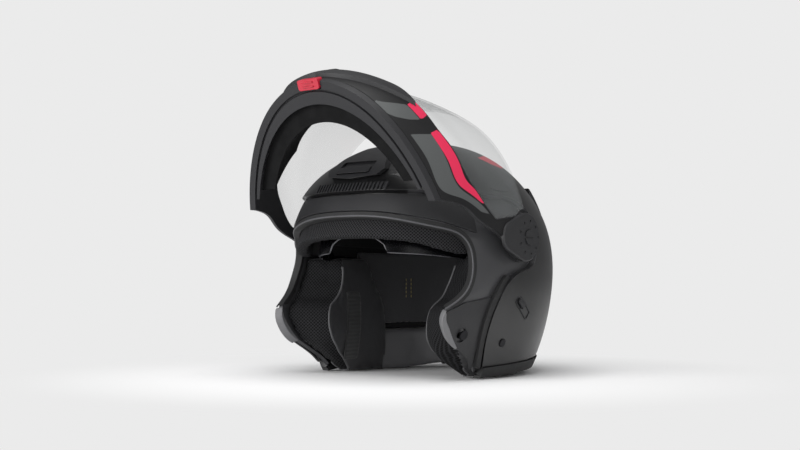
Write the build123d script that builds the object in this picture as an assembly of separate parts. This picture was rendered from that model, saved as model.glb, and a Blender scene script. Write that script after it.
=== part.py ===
from build123d import *
from math import atan2, copysign, cos, degrees, pi, radians, sin
import os

# A modular helmet: a hard shell lined with foam, and a chin bar that lifts with its clear visor.
# X points to the wearer's left, the face looks along -Y, and +Z is up. The origin lies between the
# wearer's shoulders, on the level that the cheek pads rest on. The chin bar is drawn closed and is
# then turned up, because the part is kept with its chin bar raised.

os.makedirs("parts", exist_ok=True)

# Overall shell
shell_half_width = 125
shell_crown_radius = 124
shell_centre_height = 112
shell_squareness = 2.38
shell_wall = 3.8
face_recess = 6
shell_angles = (0, 22.5, 45, 67.5, 90, 112.5, 135, 157.5, 180, 202.5, 225, 247.5, 270, 292.5, 315, 337.5)
shell_radius_shares = (1.15, 1.06, 1.05, 1.0, 1.0, 1.02, 1.07, 1.16, 1.21, 1.24, 1.315, 1.387, 1.355, 1.33,
                       1.476, 1.516)

# Outer form that the closed chin bar and the visor share
face_half_width = 132.5
face_brow_radius = 138
face_squareness = 2.0
face_angles = (-90, -66, -40, -26, -12, -3, 11, 23, 45, 90, 135, 180, 225)
face_radius_shares = (1.38, 1.565, 1.493, 1.428, 1.196, 1.112, 1.04, 1.018, 1.011, 0.993, 1.05, 1.123, 1.268)

# Main hinge
hinge_y = 3
hinge_height = 137
open_angle = 77.5

# Fits and cuts
seat_gap = 0.3
running_gap = 0.06
moving_gap = 1.0
overrun = 60
outline_size = 100
redraw_steps = 24

# Foam and comfort lining
liner_inset = 36
crown_pad_thickness = 8
pad_channel_width = 5
pad_channel_depth = 3

# Chin bar
chin_wall = 3.5
chin_inner_half_width = 109
chin_inner_radius = 111.5
rim_inner_half_width = 123
rim_inner_radius = 124.5
chin_rim_height = 6
chin_rim_proud = 0.8
chin_clear_radius = 138
chin_side_rim = 6.5
rim_groove_inset = 6.5
rim_groove_width = 2.4
rim_groove_depth = 2.4
chin_lining_inset = 5

# Visor
visor_thickness = 2.0
visor_inset = 0.3

# Hinge stack, from the shell out to the cover
pin_radius = 5
pivot_base_radius = 22
pivot_base_outer = 121.4
arm_plate_inner = 122.2
arm_plate_thickness = 3.2
arm_disc_radius = 24
hub_radius = 9
visor_disc_gap = 0.5
visor_disc_radius = 21
visor_disc_thickness = 2.6
stack_radius = 27.5
stack_ring_wall = 3
cover_inner = 129.2
cover_thickness = 4.6
cover_bevel = 1.2
cover_radius = 23.5
cover_shift = 4
cover_tip_radius = 14.5
cover_tip_distance = 30
cover_dimple_radius = 1.3
cover_dimple_depth = 0.9
cover_dimple_ring = 16
cover_dimple_count = 9
cap_radius = 7.5
cap_depth = 1
cap_height = 1.2
cap_slot_width = 1.8

# Edge trims
trim_grip = 1.4
port_trim_width = 4.6
base_trim_width = 9
seal_proud = 1.2
seal_width = 7
band_inset = 3.2
jaw_cover_thickness = 2.2


class Form:
    """A rounded form, whose side profiles shrink towards both sides of the head.

    A profile that is k times the middle one lies half_width * (1 - k^n)^(1/n) out to the side, where n
    is the squareness: 2 is an ellipse, and a higher value has fuller shoulders.
    """

    def __init__(self, half_width, radius, angles, shares, squareness):
        self.half_width = half_width
        self.radius = radius
        self.angles = angles
        self.shares = shares
        self.squareness = squareness

    def solid(self, inset, stations=14, widest_turn=80):
        """The form moved inwards by inset, as a loft through its side profiles."""
        profiles = []
        for station in range(stations + 1):
            turn = radians(widest_turn * (2 * station / stations - 1))
            x = (self.half_width - inset) * copysign(abs(sin(turn)) ** (2 / self.squareness), turn)
            k = cos(turn) ** (2 / self.squareness)
            points = []
            for angle, share in zip(self.angles, self.shares):
                reach = k * (self.radius * share - inset)
                y = -reach * cos(radians(angle))
                z = shell_centre_height + reach * sin(radians(angle))
                points.append((x, y, z))
            profiles.append(Wire([Edge.make_spline([Vector(*p) for p in points], periodic=True)]))
        return Solid.make_loft(profiles)


shell_form = Form(shell_half_width, shell_crown_radius, shell_angles, shell_radius_shares, shell_squareness)
face_form = Form(face_half_width, face_brow_radius, face_angles, face_radius_shares, face_squareness)


def sized(shares):
    """Side outline points, from shares of the outline size to lengths."""
    return [(outline_size * y, outline_size * z) for y, z in shares]


def side_prism(face, from_x=-shell_half_width - overrun, to_x=shell_half_width + overrun):
    """A side outline, drawn in the YZ plane, made solid from one X to another."""
    return extrude(Plane.YZ.offset(from_x) * face, to_x - from_x)


def curved_face(curve_shares, corner_shares):
    """A side outline: a smooth curve through the first points, closed by straight lines through the rest."""
    curve = sized(curve_shares)
    corners = sized(corner_shares)
    return make_face([Spline(*curve), Polyline(curve[-1], *corners, curve[0])])


def widened(face, amount):
    """A side outline moved outwards by amount, redrawn with plain splines."""
    edges = []
    for edge in offset(face, amount).face().outer_wire().edges():
        if edge.geom_type in (GeomType.LINE, GeomType.CIRCLE):
            edges.append(edge)
        else:
            edges.append(Edge.make_spline([edge.position_at(step / redraw_steps) for step in range(redraw_steps + 1)]))
    return Face(Wire(edges))


def hinge_disc(radius, from_x, to_x):
    """A disc about the main hinge, on the wearer's left."""
    return extrude(Plane.YZ.offset(from_x) * Pos(hinge_y, hinge_height) * Circle(radius), to_x - from_x)


def both_sides(solid):
    """A piece on the wearer's left and its mirror image on the right."""
    return solid, mirror(solid, Plane.YZ)


def raised(shape):
    """A closed chin bar piece, turned up about the main hinge."""
    return shape.rotate(Axis((0, hinge_y, hinge_height), (1, 0, 0)), -open_angle)


def save(name, shape):
    """Writes one piece to its own file, with its solids in one compound."""
    solids = shape.solids()
    export_step(solids[0] if len(solids) == 1 else Compound(solids), f"parts/{name}.step")
    print(name, len(solids), round(sum(s.volume for s in solids)))


# Side outlines, as shares of the outline size: Y, then Z

# The step behind the jaw, and round the hinge, where the face side of the shell is set in
step_curve_shares = ((-0.34, -0.2), (-0.34, 0.08), (-0.41, 0.29), (-0.41, 0.57), (-0.29, 0.81), (-0.12, 0.98),
                     (0.04, 1.045), (0.21, 1.09), (0.34, 1.22), (0.37, 1.40), (0.31, 1.60), (0.10, 1.73),
                     (-0.35, 1.77), (-1.0, 1.80), (-1.6, 1.82))
step_corner_shares = ((-2.4, 1.82), (-2.4, -0.2))
# The face port and, below it, the front edge of the jaw
port_curve_shares = ((-1.6, 1.62), (-1.17, 1.56), (-1.05, 1.505), (-0.87, 1.445), (-0.70, 1.375), (-0.625, 1.25),
                     (-0.64, 1.04), (-0.73, 0.86), (-0.84, 0.765), (-0.97, 0.69))
jaw_curve_shares = ((-0.97, 0.69), (-1.0, 0.58), (-0.96, 0.48), (-0.88, 0.38), (-0.76, 0.30), (-0.50, 0.15),
                    (-0.38, 0.05), (-0.34, -0.2))
port_corner_shares = ((-2.4, -0.2), (-2.4, 1.62))
# The shell's lower rim rises towards the nape
rim_front_share = (-0.5, 0.015)
rim_back_share = (1.3, 0.11)


def port_face(back=0, up=0):
    """The face port and all in front of the jaw, moved back and up."""
    port = sized(port_curve_shares)
    jaw = sized(jaw_curve_shares)
    corners = sized(port_corner_shares)
    outline = make_face([Spline(*port), Spline(*jaw), Polyline(jaw[-1], *corners, port[0])])
    return Pos(back, up) * outline


def rim_prism(raise_by=0):
    """All that lies below the shell's lower rim, which rises towards the nape."""
    front, back = sized((rim_front_share, rim_back_share))
    slope = (back[1] - front[1]) / (back[0] - front[0])
    reach = 2 * shell_half_width
    low = -reach
    points = ((-reach, raise_by), (front[0], front[1] + raise_by),
              (reach, front[1] + raise_by + slope * (reach - front[0])), (reach, low), (-reach, low))
    return side_prism(make_face(Polyline(*points, close=True)))


step_face = curved_face(step_curve_shares, step_corner_shares)
step_prism = side_prism(step_face)
step_web_prism = side_prism(widened(step_face, shell_wall))
port_prism = side_prism(port_face())
below_rim = rim_prism()

shell_outside = shell_form.solid(0)
shell_inside = shell_form.solid(shell_wall)
recess_outside = shell_form.solid(face_recess)
recess_inside = shell_form.solid(face_recess + shell_wall)

# The shell: one moulding, full size at the back and set in on the face side, with a step between
back_wall = shell_outside - shell_inside - step_prism
face_wall = (recess_outside - recess_inside) & step_prism
step_web = (shell_outside - recess_inside) & (step_web_prism - step_prism)
outer_shell = back_wall + face_wall + step_web - port_prism - below_rim
save("outer_shell", outer_shell)

# Rubber trim that grips the edge of the face port
above_jaw = side_prism(make_face(Polyline(*sized(((-2.4, 0.70), (0.2, 0.70), (0.2, 2.2), (-2.4, 2.2))), close=True)))
trim_layer = shell_form.solid(face_recess - trim_grip) - shell_form.solid(face_recess + shell_wall + trim_grip)
port_lip = side_prism(widened(port_face(), port_trim_width)) - side_prism(widened(port_face(), -trim_grip))
face_port_trim = (trim_layer & port_lip & above_jaw) - outer_shell
save("face_port_trim", face_port_trim)

# Rubber trim round the lower rim, behind the jaw
rim_band = rim_prism(base_trim_width) - rim_prism(-trim_grip)
behind_step = side_prism(make_face(Polyline(*sized(((-0.33, -0.3), (2, -0.3), (2, 0.6), (-0.33, 0.6))), close=True)))
rim_layer = shell_form.solid(-trim_grip) - shell_form.solid(shell_wall + trim_grip)
base_trim = (rim_layer & rim_band & behind_step) - outer_shell
save("base_trim", base_trim)

# Brow band that covers the set-in stretch above the face port
brow_band_shares = ((-1.7, 1.66), (-1.17, 1.615), (-1.05, 1.565), (-0.87, 1.51), (-0.70, 1.45), (-0.55, 1.40))
brow_band_corner_shares = ((-0.55, 1.745), (-1.0, 1.765), (-1.7, 1.785))
brow_zone = side_prism(curved_face(brow_band_shares, brow_band_corner_shares))
band_outside = shell_form.solid(band_inset)
brow_band = (band_outside - recess_outside) & brow_zone
save("brow_band", brow_band)

# Rubber seal along the step behind the jaw
seal_curve_shares = ((-0.34, 0.10), (-0.41, 0.29), (-0.41, 0.57), (-0.29, 0.81), (-0.12, 0.98))
seal_line = sized(seal_curve_shares)
seal_front = [(y - seal_width, z + seal_width / 3) for y, z in seal_line]
seal_face = make_face([Spline(*seal_line), Line(seal_line[-1], seal_front[-1]), Spline(*reversed(seal_front)),
                       Line(seal_front[0], seal_line[0])])
seal_strip = (shell_form.solid(seal_proud) - recess_outside) & side_prism(seal_face, from_x=0) & step_prism
for side, seal in zip(("left", "right"), both_sides(seal_strip)):
    save(f"step_seal_{side}", seal)

# Covers over the jaw, with the seam that runs back from the corner of the port
jaw_cover_shares = ((-1.02, 0.66), (-0.75, 0.745), (-0.36, 0.80))
jaw_cover_corner_shares = ((-0.47, 0.57), (-0.48, 0.27), (-0.44, 0.105))
jaw_front_shares = ((-0.50, 0.175), (-0.74, 0.32), (-0.86, 0.40), (-0.94, 0.49), (-0.98, 0.58), (-0.96, 0.66))
cover_top = sized(jaw_cover_shares)
cover_front = sized(jaw_front_shares)
cover_back = sized(jaw_cover_corner_shares)
jaw_face = make_face([Spline(*cover_front), Line(cover_front[-1], cover_top[1]), Line(cover_top[1], cover_top[2]),
                      Polyline(cover_top[2], *cover_back, cover_front[0])])
jaw_plate = (shell_form.solid(face_recess - jaw_cover_thickness) - recess_outside) & side_prism(jaw_face, from_x=0)
jaw_plate = jaw_plate - side_prism(seal_face)
latch_height_share = 0.44
latch_back_share = -0.74
latch_y, latch_z = sized(((latch_back_share, latch_height_share),))[0]
post_radius = 3.2
post_recess_radius = 6.5
latch_place = Plane.YZ * Pos(latch_y, latch_z)
post_recess = extrude(latch_place * Circle(post_recess_radius), shell_half_width)
jaw_covers = both_sides(jaw_plate - post_recess)
for side, cover in zip(("left", "right"), jaw_covers):
    save(f"jaw_cover_{side}", cover)

# Striker posts that the chin bar's hooks close on
post_reach = 5.2
post_head_radius = 4.6
post_head_thickness = 1.6
post_stem = extrude(latch_place * Circle(post_radius), shell_half_width) & (
    shell_form.solid(face_recess - post_reach) - recess_outside)
post_head = extrude(latch_place * Circle(post_head_radius), shell_half_width) & (
    shell_form.solid(face_recess - post_reach) - shell_form.solid(face_recess - post_reach + post_head_thickness))
striker_post = post_stem + post_head
save("latch_posts", Compound([*striker_post.solids(), *mirror(striker_post, Plane.YZ).solids()]))

# Foam liner, hollow for the head, with a slot that the sun lens slides up into
lens_radius = 102
lens_half_width = 93
lens_squareness = 2.3
lens_thickness = 2.2
lens_clearance = 1.6
lens_top_angle = 52
lens_lobe_angle = 6
lens_drop = 26
lens_nose_half_width = 36
lens_nose_height = 34
lens_hub_radius = 9
lens_points = 8
lens_axis = Axis((0, 0, shell_centre_height), (1, 0, 0))


def lens_curve(inset):
    """Half of the lens seen from above: distance out from the hinge axis, against X."""
    curve = []
    for step in range(lens_points + 1):
        turn = pi / 2 * step / lens_points
        x = (lens_half_width - inset) * sin(turn) ** (2 / lens_squareness)
        out = (lens_radius - inset) * max(cos(turn), 0) ** (2 / lens_squareness)
        curve.append((x, out))
    return curve


def lens_sector(outer_inset, inner_inset, from_angle, to_angle):
    """A slice of the lens form between two angles above the horizontal."""
    outer = lens_curve(outer_inset)
    inner = lens_curve(inner_inset)
    half = make_face([Spline(*outer), Line(outer[-1], inner[-1]), Spline(*reversed(inner)),
                      Line(inner[0], outer[0])])
    facing_front = Plane(origin=(0, 0, shell_centre_height), x_dir=(1, 0, 0), z_dir=(0, 0, 1))
    drawn = (facing_front * mirror(half, Plane.XZ)).rotate(lens_axis, -from_angle)
    right = revolve(drawn, axis=lens_axis, revolution_arc=-(to_angle - from_angle))
    return right + mirror(right, Plane.YZ)


lens_slot = lens_sector(-lens_clearance, lens_thickness + lens_clearance, lens_lobe_angle - lens_drop - lens_clearance,
                        lens_top_angle + 2 * lens_clearance)

# Sun lens, put away: a slice of its round form, with the nose cut-out and a hub at each side
lens_blank = lens_sector(0, lens_thickness, lens_lobe_angle, lens_top_angle)
nose_height = shell_centre_height + lens_radius * sin(radians(lens_lobe_angle))
nose_plane = Plane(origin=(0, 0, nose_height), x_dir=(1, 0, 0), z_dir=(0, -1, 0))
nose_cut = extrude(nose_plane * Ellipse(lens_nose_half_width, lens_nose_height / 2), lens_radius + overrun)
lens_hub = extrude(Plane.YZ.offset(lens_half_width - lens_thickness) * Pos(0, shell_centre_height)
                   * Circle(lens_hub_radius), lens_thickness)
lens_hubs = both_sides(lens_hub)
sun_lens = lens_blank - nose_cut + lens_hubs[0] + lens_hubs[1]
save("sun_lens", sun_lens)
lens_pin_radius = 3
lens_pin = extrude(Plane.YZ.offset(lens_half_width + seat_gap) * Pos(0, shell_centre_height)
                   * Circle(lens_pin_radius), overrun) & recess_inside
lens_pins = both_sides(lens_pin)
hub_pocket = extrude(Plane.YZ.offset(lens_half_width - lens_thickness - lens_clearance) * Pos(0, shell_centre_height)
                     * Circle(lens_hub_radius + lens_clearance), lens_thickness + 2 * lens_clearance)

# Front face of the cheek pads, which slants back towards the face
cheek_front_shares = ((-0.555, 1.20), (-0.575, 1.04), (-0.665, 0.88), (-0.77, 0.77), (-0.90, 0.68), (-0.94, 0.58),
                      (-0.92, 0.50), (-0.83, 0.37), (-0.72, 0.27), (-0.52, 0.11), (-0.40, 0))
cheek_corner_shares = ((0.24, 0), (0.24, 0.60), (0.06, 1.20))
cheek_slant = 0.55
cheek_reach = 75
cheek_back_share = -0.08
cheek_end_shares = ((-2, -0.5), (0.265, -0.5), (0.265, 0.425), (0.255, 0.62), (0.045, 1.21), (-2, 1.21))
neck_centre_y = -30
neck_half_length = 118
neck_half_width_low = 72
neck_half_width_middle = 65
neck_half_width_high = 74
neck_middle_height = 42
neck_high_height = 125


neck_sections = ((-overrun, neck_half_width_low), (0, neck_half_width_low), (neck_middle_height, neck_half_width_middle),
                 (neck_high_height, neck_half_width_high), (neck_high_height + overrun, neck_half_width_high))


def neck_oval(inset=0):
    """The neck opening between the cheek pads, narrowed by inset on each side."""
    return loft([Plane.XY.offset(height) * Pos(0, neck_centre_y) * Ellipse(half_width - inset, neck_half_length)
                 for height, half_width in neck_sections])


neck_opening = neck_oval()
cheek_face = curved_face(cheek_front_shares, cheek_corner_shares)
cheek_slab = extrude(Plane.YZ.offset(shell_half_width) * Pos(cheek_back_share * outline_size, 0) * cheek_face,
                     cheek_reach, dir=(-1, cheek_slant, 0))
cheek_end = side_prism(make_face(Polyline(*sized(cheek_end_shares), close=True)))
pad_outside = shell_form.solid(face_recess + shell_wall + seat_gap)
cheek_outside = shell_form.solid(face_recess + shell_wall + trim_grip + seat_gap)
cheek_pad = (cheek_slab & cheek_outside & cheek_end) - neck_opening - lens_slot - hub_pocket - lens_pin
for side, pad in zip(("left", "right"), both_sides(cheek_pad)):
    save(f"cheek_pad_{side}", pad)

# Brow pad, between the face port and the sun lens
brow_low_shares = ((-1.35, 1.40), (-1.06, 1.33), (-0.90, 1.285), (-0.75, 1.225), (-0.65, 1.20), (-0.58, 1.19))
brow_corner_shares = ((-0.58, 1.33), (-0.80, 1.53), (-1.12, 1.66), (-1.6, 1.74))
brow_inset = 23.5
brow_slab = side_prism(curved_face(brow_low_shares, brow_corner_shares))
brow_pad = ((pad_outside - shell_form.solid(brow_inset)) & brow_slab) - lens_slot - trim_layer
save("brow_pad", brow_pad)

# Foam liner behind the pads
liner_front_shares = ((-1.7, 1.78), (-1.15, 1.70), (-0.80, 1.57), (-0.52, 1.34), (-0.40, 1.215))
liner_corner_shares = ((0.05, 1.215), (0.272, 0.62), (0.272, -0.3), (-2.4, -0.3), (-2.4, 1.78))
liner_low_shares = ((-2, -0.5), (2, -0.5), (2, 0.46), (-2, 0.42))
liner_front_prism = side_prism(curved_face(liner_front_shares, liner_corner_shares))
liner_low_prism = side_prism(make_face(Polyline(*sized(liner_low_shares), close=True)))
head_cavity = shell_form.solid(liner_inset)
liner_back = shell_form.solid(shell_wall + seat_gap) - side_prism(widened(step_face, shell_wall + seat_gap))
liner_block = liner_back + pad_outside
impact_liner = liner_block - head_cavity - liner_front_prism - liner_low_prism - lens_slot
for pocket in both_sides(hub_pocket):
    impact_liner = impact_liner - pocket
impact_liner = max(impact_liner.solids(), key=lambda solid: solid.volume)
save("impact_liner", impact_liner)
save("sun_lens_pins", Compound([*lens_pins[0].solids(), *lens_pins[1].solids()]))

# Crown pad, with channels that run from front to back
pad_face_inset = liner_inset + seat_gap
crown_shares = ((-2, 1.30), (2, 1.30), (2, 2.6), (-2, 2.6))
crown_front_shares = ((-2.4, 1.50), (-0.70, 1.50), (-0.35, 1.22), (-0.35, 1), (-2.4, 1))
crown_slab = side_prism(make_face(Polyline(*sized(crown_shares), close=True)))
crown_front = side_prism(make_face(Polyline(*sized(crown_front_shares), close=True)))
crown_inside = shell_form.solid(pad_face_inset + crown_pad_thickness)
channel_floor = shell_form.solid(pad_face_inset + crown_pad_thickness - pad_channel_depth)
channel_spacing = 34
channel_count = 4
channels = [Pos(channel_spacing * (step - (channel_count - 1) / 2), 0, shell_centre_height)
            * Box(pad_channel_width, 2 * shell_half_width, 2 * shell_half_width) for step in range(channel_count)]
crown_pad = (shell_form.solid(pad_face_inset) - crown_inside) & crown_slab
crown_pad = crown_pad - crown_front - lens_slot
for channel in channels:
    crown_pad = crown_pad - (channel & channel_floor)
save("crown_pad", crown_pad)

# Nape pad round the back and sides of the head, and the neck roll below it
nape_shares = ((0.31, 0.48), (2, 0.52), (2, 1.27), (0.065, 1.27))
nape_pad_thickness = 7
nape_slab = side_prism(make_face(Polyline(*sized(nape_shares), close=True)))
nape_pad = (shell_form.solid(pad_face_inset) - shell_form.solid(pad_face_inset + nape_pad_thickness)) & nape_slab
save("nape_pad", nape_pad - lens_slot)
roll_shares = ((0.275, 0), (0.62, 0), (0.9, 0.06), (2, 0.16), (2, 0.455), (0.275, 0.42))
roll_slab = side_prism(make_face(Polyline(*sized(roll_shares), close=True)))
roll_inner_half_width = 78
roll_inner_half_length = 90
roll_fullness = 5
roll_middle_height = 20
roll_centre_y = 4


def roll_section(height, fullness):
    """An oval of the inner face of the neck roll at one height."""
    return (Plane.XY.offset(height) * Pos(0, roll_centre_y)
            * Ellipse(roll_inner_half_width - fullness, roll_inner_half_length - fullness))


roll_hollow = loft([roll_section(-roll_middle_height, 0), roll_section(roll_middle_height, roll_fullness),
                    roll_section(3 * roll_middle_height, 0)])
neck_roll = (shell_form.solid(shell_wall + seat_gap + trim_grip) & roll_slab) - roll_hollow
save("neck_roll", neck_roll)

# Chin bar outlines, drawn closed
chin_top_shares = ((-2.2, 0.70), (-1.66, 0.66), (-1.53, 0.60), (-1.28, 0.55), (-1.14, 0.55), (-0.99, 0.59),
                   (-0.78, 0.62), (-0.63, 0.655), (-0.52, 0.71), (-0.38, 0.78), (-0.23, 0.89))
chin_back_shares = ((-0.03, 0.98), (-0.16, 0.79), (-0.28, 0.63), (-0.41, 0.51), (-0.49, 0.35), (-0.53, 0.20),
                    (-0.535, -0.1))
chin_neck_shares = ((-0.195, 1.28), (0.24, 1.28))
rim_line_shares = ((-2.3, -0.05), (0.5, 0.311))


def chin_face(gap=0):
    """Side outline of the closed chin bar, without its hinge discs."""
    top = sized(chin_top_shares)
    back = sized(chin_back_shares)
    neck = sized(chin_neck_shares)
    low = (top[0][0], back[-1][1])
    outline = make_face([Spline(*top), Polyline(top[-1], *neck, back[0]), Spline(*back),
                         Polyline(back[-1], low, top[0])])
    return widened(outline, gap) if gap else outline


def under_rim(lift=0):
    """All that lies below the plane of the chin bar's rim, lifted along Z."""
    front, back = sized(rim_line_shares)
    low = -shell_half_width
    points = ((front[0], front[1] + lift), (back[0], back[1] + lift), (back[0], low), (front[0], low))
    return side_prism(make_face(Polyline(*points, close=True)))


face_outside = face_form.solid(0)
wall_inside = face_form.solid(chin_wall)
chin_inner_form = Form(chin_inner_half_width, chin_inner_radius, face_angles, face_radius_shares, face_squareness)
chin_inside = chin_inner_form.solid(0)
rim_inner_form = Form(rim_inner_half_width, rim_inner_radius, face_angles, face_radius_shares, face_squareness)
rim_inside = rim_inner_form.solid(0)
chin_prism = side_prism(chin_face())
chin_rim_top = under_rim(chin_rim_height)
jaw_clearance = Plane.YZ.offset(-shell_half_width - overrun) * Pos(hinge_y, hinge_height) * Circle(chin_clear_radius)
jaw_sweep = extrude(jaw_clearance, 2 * (shell_half_width + overrun))
stack_left = hinge_disc(stack_radius, 0, shell_half_width + overrun)
stack_ring = (hinge_disc(stack_radius + stack_ring_wall, arm_plate_inner, shell_half_width + overrun) - stack_left)
arm_plate_outer = arm_plate_inner + arm_plate_thickness
arm_outline = side_prism(chin_face(), arm_plate_inner, arm_plate_outer)
arm_plate = (arm_outline & hinge_disc(stack_radius + stack_ring_wall, 0, shell_half_width + overrun)) + hinge_disc(
    arm_disc_radius, arm_plate_inner, arm_plate_outer)
arm_hub = hinge_disc(hub_radius, arm_plate_inner, cover_inner)
arm_bore = hinge_disc(pin_radius + running_gap, 0, shell_half_width + overrun)
arm_end = arm_plate + (stack_ring & chin_prism & face_outside) + arm_hub - arm_bore

# Chin bar: a hollow moulding whose arms end in discs round the main hinge
chin_skin = ((face_outside - wall_inside) & chin_prism) - chin_rim_top - stack_left - mirror(stack_left, Plane.YZ)
arm_ends = both_sides(arm_end)
chin_bar = chin_skin + arm_ends[0] + arm_ends[1]

# Release button in the middle of the rim
button_half_width = 12.5
button_depth = 10
button_height = 5
button_proud = 2.2
button_gap = 0.4
button_y_share = -1.695
button_travel = 3
button_rib = 1.2
rim_front, rim_back = sized(rim_line_shares)
rim_slope = (rim_back[1] - rim_front[1]) / (rim_back[0] - rim_front[0])
rim_tilt = degrees(atan2(rim_back[1] - rim_front[1], rim_back[0] - rim_front[0]))
button_y = sized(((button_y_share, 0),))[0][0]
button_z = rim_front[1] + rim_slope * (button_y - rim_front[0])
button_place = Pos(0, button_y, button_z) * Rot(rim_tilt, 0, 0)
button_block = Box(2 * button_half_width, button_depth, button_height + button_proud)
button_block = fillet(button_block.edges().filter_by(Axis.Z), button_proud)
button_body = button_place * Pos(0, 0, (button_height - button_proud) / 2) * button_block
button_pocket = button_place * Box(2 * (button_half_width + button_gap), button_depth + 2 * button_gap,
                                   2 * (button_height + button_travel + 2 * button_gap))
button_ribs = [button_place * Pos(0, side * button_depth / 5, -button_proud - button_rib / 2) * Box(
    button_half_width, button_rib, button_rib) for side in (-1, 1)]
release_button = button_body + button_ribs[0] + button_ribs[1]

# Rim trim under the chin bar, with a groove round its lower face
rim_slab = chin_rim_top - under_rim()
rim_layer_front = (face_form.solid(-chin_rim_proud) - rim_inside) - jaw_sweep
rim_layer_side = face_form.solid(-chin_rim_proud) - face_form.solid(chin_side_rim)
rim_groove = (face_form.solid(rim_groove_inset) - face_form.solid(rim_groove_inset + rim_groove_width)) & (
    under_rim(rim_groove_depth))
chin_bar = chin_bar - button_pocket
chin_rim = ((rim_layer_front + rim_layer_side) & rim_slab & chin_prism) - rim_groove - button_pocket
chin_lining = ((face_form.solid(chin_wall + seat_gap) - chin_inside) & side_prism(chin_face(-chin_lining_inset)))
chin_lining = chin_lining - chin_rim_top - jaw_sweep - button_pocket

# Vent cover over the front of the chin bar
vent_cover_rise = 4
vent_cover_shares = ((0, 0.13), (0.31, 0.155), (0.60, 0.29), (0.84, 0.49))
vent_cover_top_shares = ((0.60, 0.575), (0.30, 0.62), (0, 0.63))
front_view = Plane(origin=(0, 0, 0), x_dir=(1, 0, 0), z_dir=(0, -1, 0))


def front_prism(face):
    """A front outline, drawn in X and Z, made solid from the middle of the head to the front."""
    return extrude(front_view * face, 2 * shell_half_width)


cover_low = sized(vent_cover_shares)
cover_high = sized(vent_cover_top_shares)
cover_half = make_face([Spline(*cover_low), Line(cover_low[-1], cover_high[0]), Spline(*cover_high),
                        Line(cover_high[-1], cover_low[0])])
vent_cover_prism = front_prism(cover_half + mirror(cover_half, Plane.YZ))
vent_slot_half_width = 30
vent_slot_height = 9
vent_slot_z_share = 0.40
vent_slot_z = sized(((0, vent_slot_z_share),))[0][1]
vent_slot = front_prism(Pos(0, vent_slot_z) * SlotOverall(2 * vent_slot_half_width, vent_slot_height))
vent_cover = ((face_form.solid(-vent_cover_rise) - face_outside) & vent_cover_prism) - vent_slot
louvre_count = 7
louvre_width = 1.6
louvre_rise = 1.5
louvre_pitch = 2 * vent_slot_half_width / louvre_count
louvres = [Pos(louvre_pitch * (step - (louvre_count - 1) / 2), 0, vent_slot_z) * Box(
    louvre_width, 4 * shell_half_width, vent_slot_height + 2 * louvre_rise) for step in range(louvre_count)]
louvre_layer = (face_form.solid(-louvre_rise) - face_outside) & vent_slot
vent_cover_louvres = [louvre_layer & louvre for louvre in louvres]
vent_cover = vent_cover + vent_cover_louvres[0]
for louvre in vent_cover_louvres[1:]:
    vent_cover = vent_cover + louvre

# Visor: one clear sheet that turns on the chin bar's hubs
visor_top_shares = ((-2.2, 1.74), (-1.25, 1.685), (-1.05, 1.62), (-0.87, 1.565), (-0.70, 1.52), (-0.50, 1.475),
                    (-0.22, 1.45))
visor_neck_shares = ((-0.19, 1.24), (0.03, 1.24), (0.03, 1.50))
visor_low = sized(chin_top_shares)
visor_neck = sized(visor_neck_shares)
visor_top = sized(visor_top_shares)
visor_face = make_face([Spline(*visor_low), Polyline(visor_low[-1], *visor_neck, visor_top[-1]),
                        Spline(*reversed(visor_top)), Line(visor_top[0], visor_low[0])])
visor_face = visor_face - chin_face(moving_gap)
visor_prism = side_prism(visor_face)
visor_disc_inner = arm_plate_outer + visor_disc_gap
visor_disc_outer = visor_disc_inner + visor_disc_thickness
visor_skin = (face_form.solid(visor_inset) - face_form.solid(visor_inset + visor_thickness)) & visor_prism
visor_skin = visor_skin - stack_left - mirror(stack_left, Plane.YZ)
visor_join = hinge_disc(stack_radius + visor_disc_thickness, visor_disc_inner, visor_disc_outer) & visor_prism
visor_bore = hinge_disc(hub_radius + running_gap, 0, shell_half_width + overrun)
visor_end = visor_join + hinge_disc(visor_disc_radius, visor_disc_inner, visor_disc_outer) - visor_bore
visor_ends = both_sides(visor_end)
visor_tab_half_width = 14
visor_tab_reach = 3
visor_tab_height = 6
visor_tab_low_share = 0.73
visor_tab_z = sized(((0, visor_tab_low_share),))[0][1] + visor_tab_height / 2
visor_tab_zone = front_prism(Pos(0, visor_tab_z) * RectangleRounded(
    2 * visor_tab_half_width, visor_tab_height, visor_tab_height / 3))
visor_tab = (face_form.solid(-visor_tab_reach) - face_form.solid(visor_inset)) & visor_tab_zone
visor = visor_skin + visor_ends[0] + visor_ends[1] + visor_tab

# Seal behind the visor's lower edge
seal_depth = 2.6
seal_above = 2.5
seal_wall = face_form.solid(chin_wall) - face_form.solid(chin_wall + seal_depth)
seal_zone_shares = ((-2.3, 0.45), (-1.0, 0.45), (-1.0, 1), (-2.3, 1))
seal_zone = side_prism(make_face(Polyline(*sized(seal_zone_shares), close=True)))
seal_outline = chin_face(seal_above) - chin_face(-chin_lining_inset + seat_gap)
visor_seal = (seal_wall & side_prism(seal_outline) & seal_zone) - jaw_sweep

# Hinge covers on the chin bar's hubs, with a ring of dimples and a slotted cap
closed_turn = radians(open_angle)


def along_cover(distance):
    """A place on the cover's own line, which points at the face when the chin bar is up."""
    return Pos(hinge_y - distance * cos(closed_turn), hinge_height - distance * sin(closed_turn))


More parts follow.
